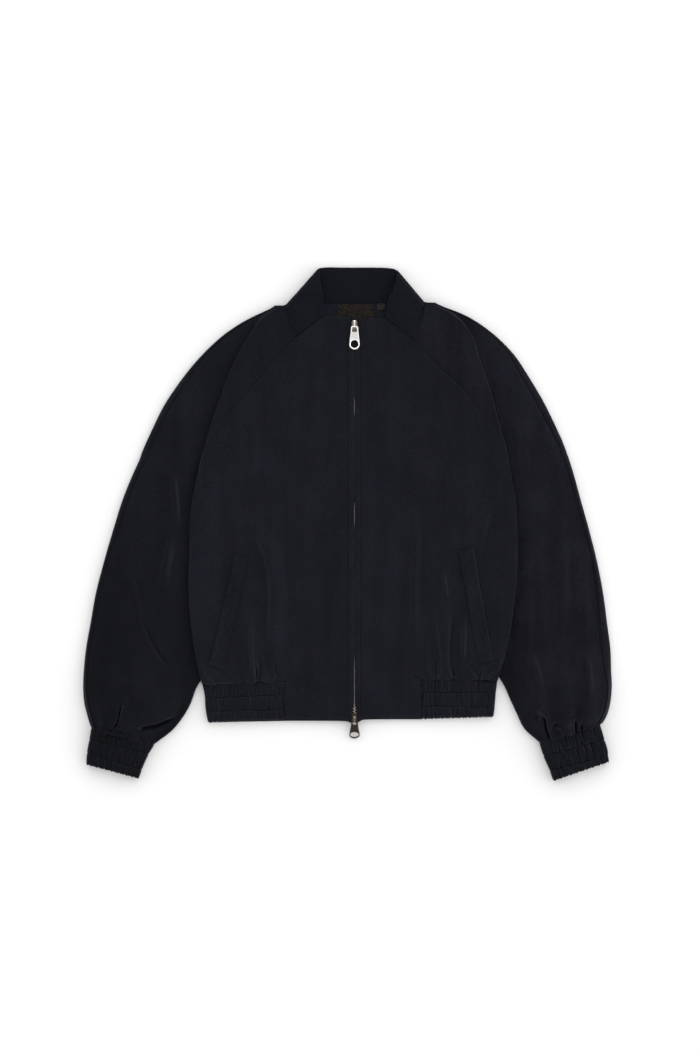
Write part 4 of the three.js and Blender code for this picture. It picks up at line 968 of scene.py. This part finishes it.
def front(side):
    rows, u, l = front_rows(side)
    band_row, corner = u + l - 1, 3
    steps = steps_for(rows[:, :9], [3.4] * (u + l - 5) + [1.7] * 4 + [2.4] * 3)
    steps[band_row] = 10 if FINE == 1 else 5
    grid = np.concatenate([refine(rows[:, :5], steps, [corner]),
                           refine(rows[:, 5:9], steps, [corner, band_row]),
                           refine(rows[:, 9:], steps, [u, band_row])], axis=1)
    col_steps = steps_for(turned(rows)[:, :u + l], *FRONT_COLUMNS)
    col_steps[8] = col_steps[9] = 6
    grid = refine_across(grid, col_steps)
    i, j = coarse(steps)[:, None], coarse(col_steps)[None, :]
    held = np.where(i < u, j < PANEL_COLS, (i < band_row) | (j < 4))
    r, c = position(steps)[:, None], position(col_steps)[None, :]
    x, y, z = (grid[..., k].copy() for k in range(3))
    # the front edge follows the parting of the zip
    shift = half_gap(y) - np.abs(grid[:, :1, 0])
    x += SIDES[side] * shift * smooth(14, 0, np.abs(x)) * (c < 1.5)
    away = np.abs(x)
    relief = creases([row for row in FRONT_CREASES if row[0][0][0] * SIDES[side] > 0], x, y)
    top = smooth(8.05, 7.75, c)
    relief += waves(x, y, "front_" + side, 0.4) * smooth(0, 14, away) * top
    z += relief * top
    # placket: two layers, with its row of stitches, and the rounded front edge
    line = PLACKET[side]
    z += 0.45 * smooth(line + 1.4, line - 1, away) * smooth(-1, 4, away) * (c < 1.6)
    z -= 0.35 * bell(away - line, 0.9) * (c < 1.9)
    z -= 0.6 * smooth(1.0, 0, away - half_gap(y)) * (c < 0.6)
    # a groove along the raglan and collar seams
    z -= 0.3 * smooth(7.8, PANEL_COLS, c) * (r < u - 0.2)
    z -= 0.5 * smooth(0.35, 0, r) * (c < PANEL_COLS)
    # the gathered lower edge hangs over the elastic and turns under
    above, gathered = r <= band_row, c >= 4
    base = grid[np.argmax(coarse(steps) == band_row), :, 1]
    table = np.array(BAND_LINE[side], float)
    drop = np.interp(x, table[:, 0], table[:, 1]) - base
    y += drop * smooth(band_row - 1.6, band_row, r) * gathered * above
    z += 0.9 * smooth(band_row - 1.0, band_row - 0.1, r) * smooth(4.0, 4.3, c) * above
    z -= 1.5 * smooth(band_row - 0.22, band_row, r) * gathered * above
    # the plain hem curls down to the floor side at its fold
    end = r[-1, 0]
    z -= 2.0 * smooth(end - 0.45, end, r) * (c <= 4) * smooth(5, 12, away)
    z -= 0.4 * smooth(end - 0.42, end - 0.3, r) * smooth(end - 0.16, end - 0.3, r)
    grid = np.dstack([x, y, np.maximum(z, 0.5)])
    cloth_piece("front_" + side, grid, CLOTH, shell_twill, held=held)


def back():
    """A sheet lying on the floor between its left and right edges."""
    ts = np.linspace(0, 1, 111)

    def edge(side):
        low = {"left": 57.6, "right": 60}[side]
        raglan = [(r[12] + 0.3, r[13] + 0.3) for r in UPPER_SLEEVE[side]]
        seam = [(r[1] - 25.7, max(r[0], low)) for r in LOWER_FRONT[side]]
        line = np.array(raglan + seam) * (SIDES[side], 1)
        d = lengths(line)
        return np.c_[np.interp(ts * d[-1], d, line[:, 0]), np.interp(ts * d[-1], d, line[:, 1])]

    rows = [[(*mix(p, q, t), HALF) for t in np.linspace(0, 1, 9)]
            for p, q in zip(edge("left"), edge("right"))]
    grid, _ = grid_of(rows, 6.5, 6.5)
    x, y = grid[..., 0], grid[..., 1]
    n, m = x.shape
    inside = (inset(np.linspace(0, 1, m), 0.06)[None, :]
              * smooth(0, 0.04, np.linspace(0, 1, n))[:, None])
    grid[..., 2] += np.maximum(0, creases(BACK_CREASES, x, y) + waves(x, y, "back", 0.25)) * inside
    cloth_piece("back", grid, CLOTH, shell_twill)


# ------------------------------------------------------------------ elastic hem and cuffs
LEVELS = [0.0, 0.36, 0.71, 1.0]  # an elastic piece's edges and its two rows of stitches
BAND_TALL, CUFF_TALL, CUFF_LONG = 57.0, 53.0, 92.0
BAND_TOP, BAND_UNDER = 3.35, 1.0  # heights of the side hem's two layers
BAND_TURN = 18  # how far it turns under
EDGE = 0.9  # radius of an elastic piece's rounded edges
# Where the two rows of stitches lie at each end of the piece, as shares of its depth
BAND_STITCH = {"left": [(0.317, 0.41), (0.69, 0.735)], "right": [(0.31, 0.32), (0.66, 0.70)]}
CUFF_STITCH = {"left": [(0.27, 0.30), (0.75, 0.69)], "right": [(0.31, 0.39), (0.72, 0.84)]}
seam_lines = {}


def ruched(u, v, piece, pitch, high, lean=1.0, crease_wide=0.85):
    """Gathers of elastic cloth: u mm along it, v from 0 to 1 across, with its seams on LEVELS.
    Ribs are rounded, with narrow creases between them that slant and fade unevenly."""
    rng = np.random.default_rng(SEEDS[piece])
    out = np.zeros_like(u)
    for v0, v1 in zip(LEVELS, LEVELS[1:]):
        s = np.clip((v - v0) / (v1 - v0), 0, 1)
        inside = (v >= v0) & (v <= v1)
        body = 0.35 * high * np.sin(math.pi * s) ** 0.6
        pos = u.min() - pitch
        while pos < u.max() + pitch:
            wide, deep = crease_wide * rng.uniform(0.8, 1.3), high * rng.uniform(0.5, 1.0)
            slant, bow = rng.uniform(-lean, lean), rng.uniform(-0.6, 0.6)
            reach, start = rng.uniform(0.45, 1.3), rng.choice([0.0, 1.0])
            centre = pos + slant * (s - 0.5) + bow * np.sin(math.pi * s)
            fade = smooth(0, 0.35, reach - np.abs(s - start))
            body = body - deep * fade * np.exp(-(np.abs(u - centre) / wide) ** 1.3)
            pos += pitch * rng.uniform(0.6, 1.2)
        out = np.where(inside, body, out)
    return out + 0.45 * high


def grooved(v, tall, deep):
    return sum(-deep * bell((v - line) * tall, 0.9) for line in LEVELS[1:3])


def rippled(u, piece, first, second):
    """An elastic piece's scalloped free edge: two waves, each (height, length) in mm."""
    phase = np.random.default_rng(SEEDS[piece] + RIPPLE).uniform(0, 6)
    return (first[0] * np.sin(u * 2 * math.pi / first[1] + phase)
            + second[0] * np.sin(u * 2 * math.pi / second[1]))


def between_rows(v, stitch, part):
    """v remade so that the two rows of stitches lie on LEVELS."""
    first, second = (mix(p, q, part) for p, q in stitch)
    a, b = LEVELS[1:3]
    return np.where(v < first, v / first * a, np.where(
        v < second, a + (v - first) / (second - first) * (b - a),
        b + (v - second) / (1 - second) * (1 - b)))


def note_lines(name, grid, bend, cols):
    """Keeps where the rows of stitches run, for the stitching."""
    for k, level in enumerate(LEVELS[1:3]):
        seam_lines[name, k] = [[np.interp(level, bend[:, j], grid[:, j, a]) for a in (0, 1)]
                               for j in cols]


def tucked_in(grid, wall, steps):
    """Runs the first row on under the cloth it is sewn to: steps are (mm up, mm of height)."""
    extra = [grid[:1] + np.array([0, up, high]) for up, high in steps[::-1]]
    wall = np.broadcast_to(np.asarray(wall, float), grid.shape[:2])
    more = np.repeat(np.maximum(wall[:1], 0.8), len(steps), axis=0)
    return np.concatenate([*extra, grid]), np.concatenate([more, wall])


def hem_band(side):
    rows, name = [], "hem_band_" + side
    table, split = SIDE_BAND[side], HEM_SPLIT[side]
    for n, (y, fold) in enumerate(table):
        out_x, in_x = fold - 1.0, fold - 2.4
        tilt = 3.2 * (n == len(table) - 1) * -SIDES[side]
        run = [(mix(split + 0.15, in_x, t), y + (1 - t) * tilt, BAND_TOP)
               for t in (0, 0.25, 0.5, 0.75)]
        rows.append(run + [(in_x, y, BAND_TOP), (out_x, y, 2.2), (in_x, y, BAND_UNDER),
                           (fold - BAND_TURN, y, BAND_UNDER)])
    grid, steps = grid_of(signed(side, rows), 1.2, [0.72] * 4 + [0.6, 0.6, 1.6],
                          col_least=[8] * 4 + [4] * 3)
    c = position(steps)[None, :]
    v = across_rows(grid)
    x = grid[..., 0]
    u = np.abs(x) - split
    bend = between_rows(v, BAND_STITCH[side], np.clip(u / (table[0][1] - split), 0, 1))
    pitch, lean = {"left": (3.9, 1.3), "right": (3.5, 0.3)}[side]
    height = ruched(u, bend, name, pitch, 1.9, lean) + grooved(bend, BAND_TALL, 1.0)
    height += 0.5 * bell((1 - v) * BAND_TALL - 2.8, 1.0)
    height = np.minimum(height, mix(0.5, 2.4, smooth(0.0, 0.12, v)))
    top = smooth(5, 4.2, c)
    grid[..., 2] += height * top - 0.35 * top
    grid[..., 2] += np.maximum(0, height) * 0.4 * smooth(5.2, 6, c)
    note_lines(name, grid, bend, np.flatnonzero(coarse(steps) < 4))
    grid[..., 1] += rippled(u, name, (0.5, 5.1), (0.4, 8.3)) * smooth(0.85, 1.0, v)
    # the lower corner at the fold is rounded
    corner = np.clip((v - 0.93) / 0.07, 0, 1)
    from_fold = np.abs(x).max(axis=1, keepdims=True) - np.abs(x)
    grid[..., 0] -= (SIDES[side] * 4.5 * (1 - np.sqrt(1 - corner ** 2 * 0.98))
                     * smooth(16, 0, from_fold))
    if side == "left":  # side seam
        grid[..., 2] -= 0.7 * bell(np.abs(x) - 153, 0.8) * smooth(0.25, 0.4, v) * top
    wall = (1.7 * rounded_rim((1 - v) * BAND_TALL, EDGE, 0.05)
            * rounded_rim(v * BAND_TALL, EDGE, 0.1))
    grid[..., 2] -= 1.2 * smooth(0.93, 1.0, v) * top
    grid, wall = tucked_in(grid, wall, [(1.5, -0.4), (3, -0.8), (4.5, -0.9)])
    cloth_piece(name, grid, wall, band_twill[side])


def band_back():
    edges = [np.array([(sign * (fold - BAND_TURN - 0.2), y) for y, fold in SIDE_BAND[side]])
             for side, sign in SIDES.items()]
    rows = []
    for t in np.linspace(0, 1, 8):
        a, b = (xy(*(np.interp(t, np.linspace(0, 1, 4), edge[:, k]) for k in (0, 1)))
                for edge in edges)
        rows.append([(*mix(a, b, s), HALF) for s in np.linspace(0, 1, 13)])
    grid, _ = grid_of(rows, 2.6, 1.9)
    v = across_rows(grid)
    height = ruched(grid[..., 0] + 210, v, "hem_band_back", 4.4, 0.7)
    height += grooved(v, BAND_TALL, 0.4)
    ends = inset(np.linspace(0, 1, grid.shape[1]), 0.03)[None, :]
    grid[..., 2] += np.maximum(0, height) * ends * smooth(0, 0.06, v)
    near_slider = bell(grid[..., 0], 9) * smooth(30, 12, grid[..., 1])
    grid[..., 2] = mix(grid[..., 2], HALF, near_slider)
    grid, wall = tucked_in(grid, 1.1, [(0.6, 0.5), (1.4, 1.0), (3.2, 1.1)])
    cloth_piece("hem_band_back", grid, wall, band_twill["left"])


# A cuff's section: end (0 inner, 1 outer), inward from its wall, height, as shares
RING = [(0, 0, 0.5), (0, 0.3, 0.15), (0, 1, 0), (1, 1, 0), (1, 0.3, 0.15), (1, 0, 0.5),
        (1, 0.3, 0.85), (1, 1, 1), (0.75, 1, 1), (0.5, 1, 1), (0.25, 1, 1), (0, 1, 1),
        (0, 0.3, 0.85), (0, 0, 0.5)]


def cuff(side):
    wall, tall = 1.6, 5.6
    rows, name = [], "cuff_" + side
    for ox, oy, ix, iy in CUFF_ROWS[side]:
        a, b = xy(ix, iy), xy(ox, oy)
        row = []
        for end, across, up in RING:
            inward = {0: 1, 1: -1}.get(end, 0) * (wall / 2 + across * tall / 2)
            p = mix(a, b, end) + (b - a) / np.linalg.norm(b - a) * inward
            row.append((*p, wall / 2 + tall * up))
        rows.append(row)
    grid, steps = grid_of(signed(side, rows), 1.1,
                          [1, 1, 2, 1, 0.8, 0.8, 0.8] + [0.75] * 4 + [0.8, 0.8],
                          col_least=[2, 2, 10, 2, 2, 2, 2, 8, 8, 8, 8, 2, 2])
    grid = grid[:, :-1]
    v = across_rows(grid)
    c = position(steps)[:-1]
    outer, inner = grid[:, np.argmin(np.abs(c - 5))], grid[:, 0]
    span = outer - inner
    e = ((grid - inner[:, None]) * span[:, None]).sum(-1) / (span ** 2).sum(-1)[:, None]
    e = np.clip(e, 0, 1)
    u = e * CUFF_LONG
    bend = between_rows(v, CUFF_STITCH[side], e)
    height = ruched(u, bend, name, 4.3, 2.4, 1.6, 1.0) + grooved(bend, CUFF_TALL, 1.1)
    note_lines(name, grid, bend, np.flatnonzero((c > 6.5) & (c < 12))[::-1])
    above = smooth(0.25, 0.6, (grid[..., 2] - 0.5) / tall)
    grid[..., 2] += height * above - 0.2 * above
    grid[..., 2] += np.maximum(0, height) * 0.35 * (1 - above) * inset(e, 0.15)
    # the open end pouts and ripples, and the elastic draws the middle in a little
    ripple = rippled(u, name, (0.6, 5.3), (0.45, 9.1))
    grid += unit(grid[-1] - grid[-6])[None] * (ripple * smooth(0.85, 1, v))[..., None]
    pinch = 0.7 * (bell(bend - LEVELS[1], 0.03) + bell(bend - LEVELS[2], 0.03))
    way = unit(span)
    grid += way[:, None] * (pinch * (smooth(0.12, 0, e) - smooth(0.88, 1, e)))[..., None]
    thick = wall * rounded_rim((1 - v) * CUFF_TALL, EDGE, 0.08)
    # it runs on a little inside the sleeve it is sewn to
    up = unit(grid[0] - grid[4])
    middle = grid[0].mean(axis=0)
    inside = []
    for mm, close in ((5, 0.55), (3.4, 0.7), (1.6, 0.88)):
        row = grid[0] + up * mm
        row[:, 2] = mix(middle[2], grid[0][:, 2], close)
        inside.append((row - (e[0] - 0.5)[:, None] * 2 * way[0] * (1 - close) * 3.0)[None])
    grid = np.concatenate([*inside, grid])
    thick = np.concatenate([np.repeat(thick[:1] * 0.6, 3, axis=0), thick])
    cloth_piece(name, grid, thick, cuff_twill[side], loop=True)


# ------------------------------------------------------------------ collar and neck
COLLAR_TALL = 55


def collar():
    def half(side):
        out = []
        for sx, sy, sz, fx, fy, fz in HALF_COLLAR[side]:
            roll = 0.7 if sz > 3 else 0
            out.append([(SIDES[side] * mix(sx, fx, t), mix(sy, fy, t),
                         mix(sz, fz, t) + roll * math.sin(math.pi * t)) for t in (0, 0.35, 0.7, 1)])
        return out

    rows = np.array(half("left") + half("right")[::-1])
    last = len(rows) - 1
    steps = steps_for(rows, 1.7, 2)
    for k in (4, 5, last - 5, last - 6):  # where the wings turn down
        steps[k] = max(steps[k], 6)
    grid = refine(rows, steps, [2, last - 2], monotone=True)
    grid = refine_across(grid, steps_for(turned(rows), 1.7, 8), monotone=False)
    n, m = grid.shape[:2]
    r, t = position(steps)[:, None], np.linspace(0, 1, m)[None, :]
    wing = smooth(4.6, 4.0, r) + smooth(last - 4.6, last - 4.0, r)
    rolling = waves(grid[..., 0], grid[..., 1], "collar", 0.35, 70, 30)
    grid[..., 2] += rolling * wing * smooth(0, 0.2, t)
    # the roll of the free edge, and a dent beside the seam
    grid[..., 2] += 0.5 * wing * smooth(0.9, 1, t)
    grid[..., 2] -= 0.35 * bell(t - 0.05, 0.02) * wing
    end = np.minimum(np.arange(n), np.arange(n)[::-1])[:, None] * 1.6
    wall = (2.1 * rounded_rim((1 - t) * COLLAR_TALL, 1.1, 0.06) * rounded_rim(end, 1.1, 0.2)
            * rounded_rim(t * COLLAR_TALL, 0.8, 0.3))
    cloth_piece("collar", grid, wall, collar_rib, "collar_rib")


# Pieces inside the neck: middle height, wall, and x, y of their rows
NECK_STRIPS = {
    "neck_facing": (2.0, 0.8, [
        [(-62, 623.9), (-30, 623.9), (30, 623.9), (62, 623.9)],
        [(-64, 611), (-30, 611), (30, 611), (64, 611)],
        [(-66, 598), (-30, 596.5), (30, 596.5), (66, 597)]]),
    "neck_label": (3.15, 0.7, [
        [(-24.2, 623.9), (2, 624.3), (29, 624)], [(-24.4, 612), (2, 612), (29.2, 612)],
        [(-24, 600.8), (2, 600.4), (28.8, 600.8)]]),
    "size_tab": (3.2, 0.8, [
        [(34.5, 624.6), (40, 624.9), (45.5, 624.6)], [(34.3, 619), (40, 619), (45.7, 619)],
        [(34.5, 615.4), (40, 615), (45.5, 615.4)]]),
}


def neck_strip(name, material, slot):
    z, wall, rows = NECK_STRIPS[name]
    grid, _ = grid_of([[(x, y, z) for x, y in row] for row in rows], 1.6, 1.8)
    grid[..., 2] += waves(grid[..., 0], grid[..., 1], name, 0.15, 30, 12)
    cloth_piece(name, grid, wall, material, slot)


# ------------------------------------------------------------------ pockets
def welt(side, drop):
    ends = np.array(WELT_ENDS[side], float)
    rows = []
    for t in np.linspace(0, 1, 9):
        ox, oy, ix, iy = mix(ends[0], ends[1], t)
        rows.append([(mix(ix, ox, s), mix(iy, oy, s), 0) for s in (0, 0.5, 1)])
    grid, _ = grid_of(signed(side, rows), 2.0, 1.3)
    n, m = grid.shape[:2]
    s, v = np.linspace(0, 1, m)[None, :], np.linspace(0, 1, n)[:, None]
    under = [drop(p[0], p[1]) for p in grid.reshape(-1, 3)]
    under = np.array([6.0 if z is None else z for z in under]).reshape(n, m)
    grid[..., 2] = under + (CLOTH / 2 + 0.35)
    grid[..., 2] += 0.35 * smooth(0.55, 1, s) * inset(v, 0.05)
    wall = 0.65 * rounded_rim((1 - s) * 20, 0.6, 0.1) * (0.35 + 0.65 * smooth(0, 0.12, s))
    cloth_piece("pocket_welt_" + side, grid, wall, shell_twill)


# ------------------------------------------------------------------ stitches
def stitch_run(line, drop, length=2.5, gap=1.0, lift=0.10, half=0.33, thick=0.22):
    """Stitches along a line on the cloth: small flat bars of stitching that lie on it."""
    pts = np.array(line, float)
    d = lengths(pts)
    verts, faces = [], []
    pos = gap / 2
    while pos + length < d[-1]:
        a, b = (xy(*(np.interp(pos + s * length, d, pts[:, k]) for k in (0, 1))) for s in (0, 1))
        pos += length + gap
        way = (b - a) / max(np.linalg.norm(b - a), 1e-9)
        side = xy(way[1], -way[0]) * half
        corners = [p + k * side for p in (a, (a + b) / 2, b) for k in (-1, 1)]
        heights = [drop(*p) for p in corners]
        if None in heights:
            continue
        start = len(verts)
        verts += [(*p, h + up) for up in (lift, lift - thick) for p, h in zip(corners, heights)]
        faces += [[start + k for k in q] for q in (
            (0, 2, 3, 1), (2, 4, 5, 3), (6, 7, 9, 8), (8, 9, 11, 10), (0, 1, 7, 6), (4, 10, 11, 5),
            (0, 6, 8, 2), (2, 8, 10, 4), (1, 3, 9, 7), (3, 5, 11, 9))]
    return verts, faces


def stitches(name, runs, material):
    keep(mesh_object(name, *join(runs), material, sharp=80), None)


# ------------------------------------------------------------------ zip
def tape(side):
    rows = [[(SIDES[side] * x, y, z) for x, z in ((3.1, 3.1), (8, 3.1), (14, 3.0))]
            for y in (600, 400, 200, 4)]
    grid, _ = grid_of(rows, 8, 2.2)
    cloth_piece("zip_tape_" + side, grid, 0.8, tape_cloth, "zip_tape")


def teeth():
    """Teeth from both tapes in turn, each a bevelled block with its nose on the other side."""
    low, high, pitch = 5, 590, 4.1
    ring = [(-0.7, 0.78), (1.6, 0.6), (2.7, 0.6), (2.7, -0.6), (1.6, -0.6), (-0.7, -0.78)]
    levels = [(2.5, 0.9), (3.0, 1.0), (4.05, 1.0), (4.4, 0.72)]
    n = len(ring)
    top = (len(levels) - 1) * n
    faces = [[level + a, level + n + a, level + n + (a + 1) % n, level + (a + 1) % n]
             for level in range(0, top, n) for a in range(n)]
    faces += [[top + a for a in range(n)][::-1], list(range(n))]
    blocks = []
    for k in range(int((high - low) / (pitch / 2))):
        y, sign = low + k * pitch / 2, 1 if k % 2 else -1
        blocks.append(([(sign * (1.0 + (x - 1.0) * grow), y + w * grow * sign, z)
                        for z, grow in levels for x, w in ring], faces))
    keep(mesh_object("zip_teeth", *join(blocks), teeth_metal, sharp=30), "zip_chain")


def outline_plate(name, outline, holes, thick, bevel):
    """A flat plate with rounded edges, from a filled curve."""
    data = bpy.data.curves.new(name, "CURVE")
    data.dimensions = "2D"
    data.fill_mode = "BOTH"
    data.extrude = thick / 2 - bevel
    data.bevel_depth = bevel
    data.bevel_resolution = 3
    data.offset = -bevel
    for ring in [outline, *holes]:
        spline = data.splines.new("POLY")
        spline.points.add(len(ring) - 1)
        for place, (x, y) in zip(spline.points, ring):
            place.co = (x, y, 0, 1)
        spline.use_cyclic_u = True
    holder = bpy.data.objects.new(name + "_curve", data)
    bpy.context.collection.objects.link(holder)
    bpy.context.view_layer.update()
    mesh = bpy.data.meshes.new_from_object(holder)
    bpy.data.objects.remove(holder)
    co = np.zeros(len(mesh.vertices) * 3)
    mesh.vertices.foreach_get("co", co)
    faces = [list(p.vertices) for p in mesh.polygons]
    bpy.data.meshes.remove(mesh)
    return co.reshape(-1, 3), faces


def rounded(points, radius):
    """A closed outline with its corners rounded."""
    out = []
    pts = [np.array(p, float) for p in points]
    for k, p in enumerate(pts):
        a, b = pts[k - 1], pts[(k + 1) % len(pts)]
        r = min(radius, np.linalg.norm(a - p) * 0.45, np.linalg.norm(b - p) * 0.45)
        p0, p1 = toward(p, a, r), toward(p, b, r)
        out += [tuple(mix(mix(p0, p, t), mix(p, p1, t), t)) for t in np.linspace(0, 1, 5)]
    return out


# Each slider: its middle, the way its wide end points, its tab's hinge and its bridge's middle
UPPER_ZIP = dict(y=592, toward=1, pivot=590, bridge=594)
LOWER_ZIP = dict(y=3.5, toward=-1, pivot=-1.4, bridge=0.6)
PIVOT_Z = 7.4


def arch(y, half, long, low, high, thick):
    """The bridge over the slider: a bent strap."""
    side = [(long / 2, low), (long / 2, high - 1.3), (long / 2 - 0.5, high - 0.45),
            (long / 2 - 1.5, high)]
    path = [(-u, z) for u, z in side] + [(0, high + 0.15)] + side[::-1]
    rows = [[(x, y + u, z) for x in (-half, -half * 0.5, half * 0.5, half)] for u, z in path]
    grid = refine(rows, [3] * (len(rows) - 1), monotone=True)
    return shell(refine_across(grid, [2, 4, 2], monotone=False), thick)


def slider(name, at, material, bridge):
    y, way = at["y"], at["toward"]
    tip, tail = y + way * 7.5, y - way * 7.5
    plate = [(3.2, tail), (3.9, y), (3.9, tip - way * 2.4), (3.0, tip)]
    plate = [(-3.2, tail)] + plate + [(-x, v) for x, v in plate[:0:-1]]
    post = y + way * 5.5
    post = [(-1.6, post - 2), (1.6, post - 2), (1.6, post + 2), (-1.6, post + 2)]
    parts = []
    for outline, radius, thick, bevel, z in (
            (plate, 2.0, 1.2, 0.32, 5.2), (plate, 2.0, 0.7, 0.32, 1.85),
            (post, 0.8, 3.9, 0.2, 3.65)):
        v, f = outline_plate(name, rounded(outline, radius), [], thick, bevel)
        parts.append((v + np.array([0, 0, z]), f))
    for s in (-1, 1):  # the plate's sides turn down over the teeth
        rows = [[(s * x, v, z) for x, z in ((3.4, 5.2), (3.8, 4.9), (3.9, 4.2), (3.85, 3.6))]
                for v in np.linspace(y - 4.5, y + 4.5, 5)]
        parts.append(shell(refine(rows, [2] * 4), 0.5))
    strap = arch(at["bridge"], half=1.3, long=9.0, low=5.5, high=9.25, thick=0.9)
    keep(mesh_object(name + "_bridge", *strap, bridge, sharp=35), None)
    keep(mesh_object(name + "_body", *join(parts), material, sharp=35), name)


def pull(name, at, material, length, neck, wide, hole, hole_at, eye, droop):
    """A pull tab: half widths of its neck and foot, half sizes of its hole and the hole's distance
    from the hinge, (half width, length) of the eye round the bridge, and how far it droops."""
    thick, around, ring_steps = 1.5, 40, 8
    foot = [(wide * math.cos(a), -hole_at - (length - hole_at) * math.sin(a))
            for a in np.linspace(0, math.pi, 25)]
    right = [(neck * 0.55, 0.9), (neck * 0.86, 0.1), (neck, -1.8), (neck * 1.04, -6)]
    outline = right + foot + [(-x, y) for x, y in right[::-1]]
    half, low = eye[0], -eye[1]
    slit = rounded([(-half, -0.75), (half, -0.75), (half, low), (-half, low)], half * 0.9)
    angles = [2 * math.pi * k / around for k in range(around + 1)]
    ring = [(hole[0] * math.cos(a), -hole_at + hole[1] * math.sin(a)) for a in angles[:-1]]
    plate = outline_plate(name, outline[::-1], [slit, ring], thick, 0.42)
    rim = []  # a raised ring round the hole
    for a in angles:
        for b in range(ring_steps):
            t = 2 * math.pi * b / ring_steps
            out = 0.75 + 0.42 * math.cos(t)
            rim.append(((hole[0] + out) * math.cos(a), -hole_at + (hole[1] + out) * math.sin(a),
                        thick / 2 - 0.05 + 0.34 * math.sin(t)))
    rim_faces = []
    for k in range(0, around * ring_steps, ring_steps):
        for b in range(ring_steps):
            c = (b + 1) % ring_steps
            rim_faces.append([k + b, k + ring_steps + b, k + ring_steps + c, k + c])
    v, f = join([plate, (rim, rim_faces)])
    c, s = math.cos(droop), math.sin(droop)
    v = np.c_[v[:, 0], v[:, 1] * c - v[:, 2] * s, v[:, 1] * s + v[:, 2] * c]
    v += np.array([0, at["pivot"], PIVOT_Z])
    keep(mesh_object(name + "_tab", v, f, material, sharp=35), name, name)


# ------------------------------------------------------------------ build
for side in SIDES:
    sleeve_front(side)
    sleeve_back(side)
    front(side)
    hem_band(side)
    cuff(side)
    tape(side)
back()
band_back()
collar()
neck_strip("neck_facing", facing_twill, "shell_twill")
neck_strip("neck_label", label_cloth, "label")
neck_strip("size_tab", tab_cloth, "size_tab")
teeth()
on_front = {side: top_of("front_" + side) for side in SIDES}
for side in SIDES:
    welt(side, on_front[side])
slider("upper_slider", UPPER_ZIP, nickel, silver)
# The lower slider's bridge is in the lighter nickel, not the slider's dark metal, so it shows as a
# bright spot: a painted highlight.
slider("lower_slider", LOWER_ZIP, antique, nickel)
pull("upper_pull", UPPER_ZIP, silver, length=34.4, neck=5.3, wide=7.7,
     hole=(5.9, 5.9), hole_at=26.3, eye=(3.8, 8.8), droop=0)
pull("lower_pull", LOWER_ZIP, antique, length=27, neck=5.0, wide=7.9,
     hole=(6.2, 3.8), hole_at=20.9, eye=(2.6, 5.6), droop=0.236)

# ------------------------------------------------------------------ thread
runs, bars = [], []
for side, sign in SIDES.items():
    placket = [(sign * PLACKET[side], y) for y in (599, 4)]
    runs.append(stitch_run(placket, on_front[side]))
    drop = top_of("sleeve_front_" + side)
    runs += [stitch_run(line, drop, half=0.27) for line in overarm_lines[side]]
    drop = top_of("pocket_welt_" + side)
    for (ox, oy, ix, iy), end in zip(WELT_ENDS[side], (0.6, -0.6)):
        bar = [(sign * (ix - 1.5), iy - end), (sign * (ox + 0.3), oy - end)]
        bars.append(stitch_run(bar, drop, length=2.6, gap=0.15, lift=0.3, half=0.55, thick=0.4))
    for node in ("hem_band_" + side, "cuff_" + side):
        drop = top_of(node)
        runs += [stitch_run(seam_lines[node, k], drop) for k in (0, 1)]
stitches("stitching", runs, thread_and_pit_shade)
stitches("pocket_bars", bars, bar_thread)

# ------------------------------------------------------------------ floor, light and camera
FLOOR = 4  # metres from its middle to its edges
floor_mesh = bpy.data.meshes.new("floor")
floor_mesh.from_pydata([(x * FLOOR, y * FLOOR, 0) for x, y in ((-1, -1), (1, -1), (1, 1), (-1, 1))],
                       [], [(0, 1, 2, 3)])
floor_mesh.materials.append(Look("pale_floor", (0.9, 0.9, 0.9), 0.9, specular=0.0).material)
floor = bpy.data.objects.new("floor", floor_mesh)
bpy.context.collection.objects.link(floor)

# The light is bright low down all round, as a light tent is, and dim overhead: (up, strength).
DOME = [(0.0, 6.0), (0.14, 5.6), (0.22, 4.4), (0.36, 2.2), (0.52, 0.85), (0.77, 0.45), (1.0, 0.5)]
DOME_TOP, DOME_GAIN = 8.0, 1.03
LEAN = (("X", 0.26), ("Y", 0.27))  # and a little stronger from the upper right
world = bpy.data.worlds.new("soft_studio")
bpy.context.scene.world = world
world.use_nodes = True
sky = Nodes(world.node_tree)
direction = sky.node("SeparateXYZ", {0: sky.node("TexCoord").outputs["Generated"]}).outputs
ramp = sky.node("ValToRGB", {0: direction["Z"]})
for _ in DOME[2:]:
    ramp.color_ramp.elements.new(0.5)
for stop, (z, level) in zip(ramp.color_ramp.elements, DOME):
    stop.position, stop.color = z, (*[level / DOME_TOP] * 3, 1)
lean = 1.0
for axis, weight in LEAN:
    lean = sky.math("MULTIPLY_ADD", direction[axis], weight, lean)
level = sky.math("MULTIPLY", ramp.outputs[0], DOME_TOP * DOME_GAIN)
background = world.node_tree.nodes["Background"].inputs
sky.link(sky.math("MULTIPLY", level, lean), background["Strength"])
background["Color"].default_value = (1, 1, 1, 1)

CAMERA_UP, SEEN_TALL, AIM = 8.0, 1.575, (-6.75, 292.5)  # metres, metres, mm
lens = bpy.data.cameras.new("camera")
lens.sensor_width, lens.lens = 36, 36 * CAMERA_UP / SEEN_TALL
lens.clip_end = 50
camera = bpy.data.objects.new("camera", lens)
camera.location = ((SHIFT[0] + AIM[0]) / 1000, (SHIFT[1] + AIM[1]) / 1000, CAMERA_UP)
bpy.context.collection.objects.link(camera)
bpy.context.scene.camera = camera
bpy.context.scene.view_settings.view_transform = "Standard"
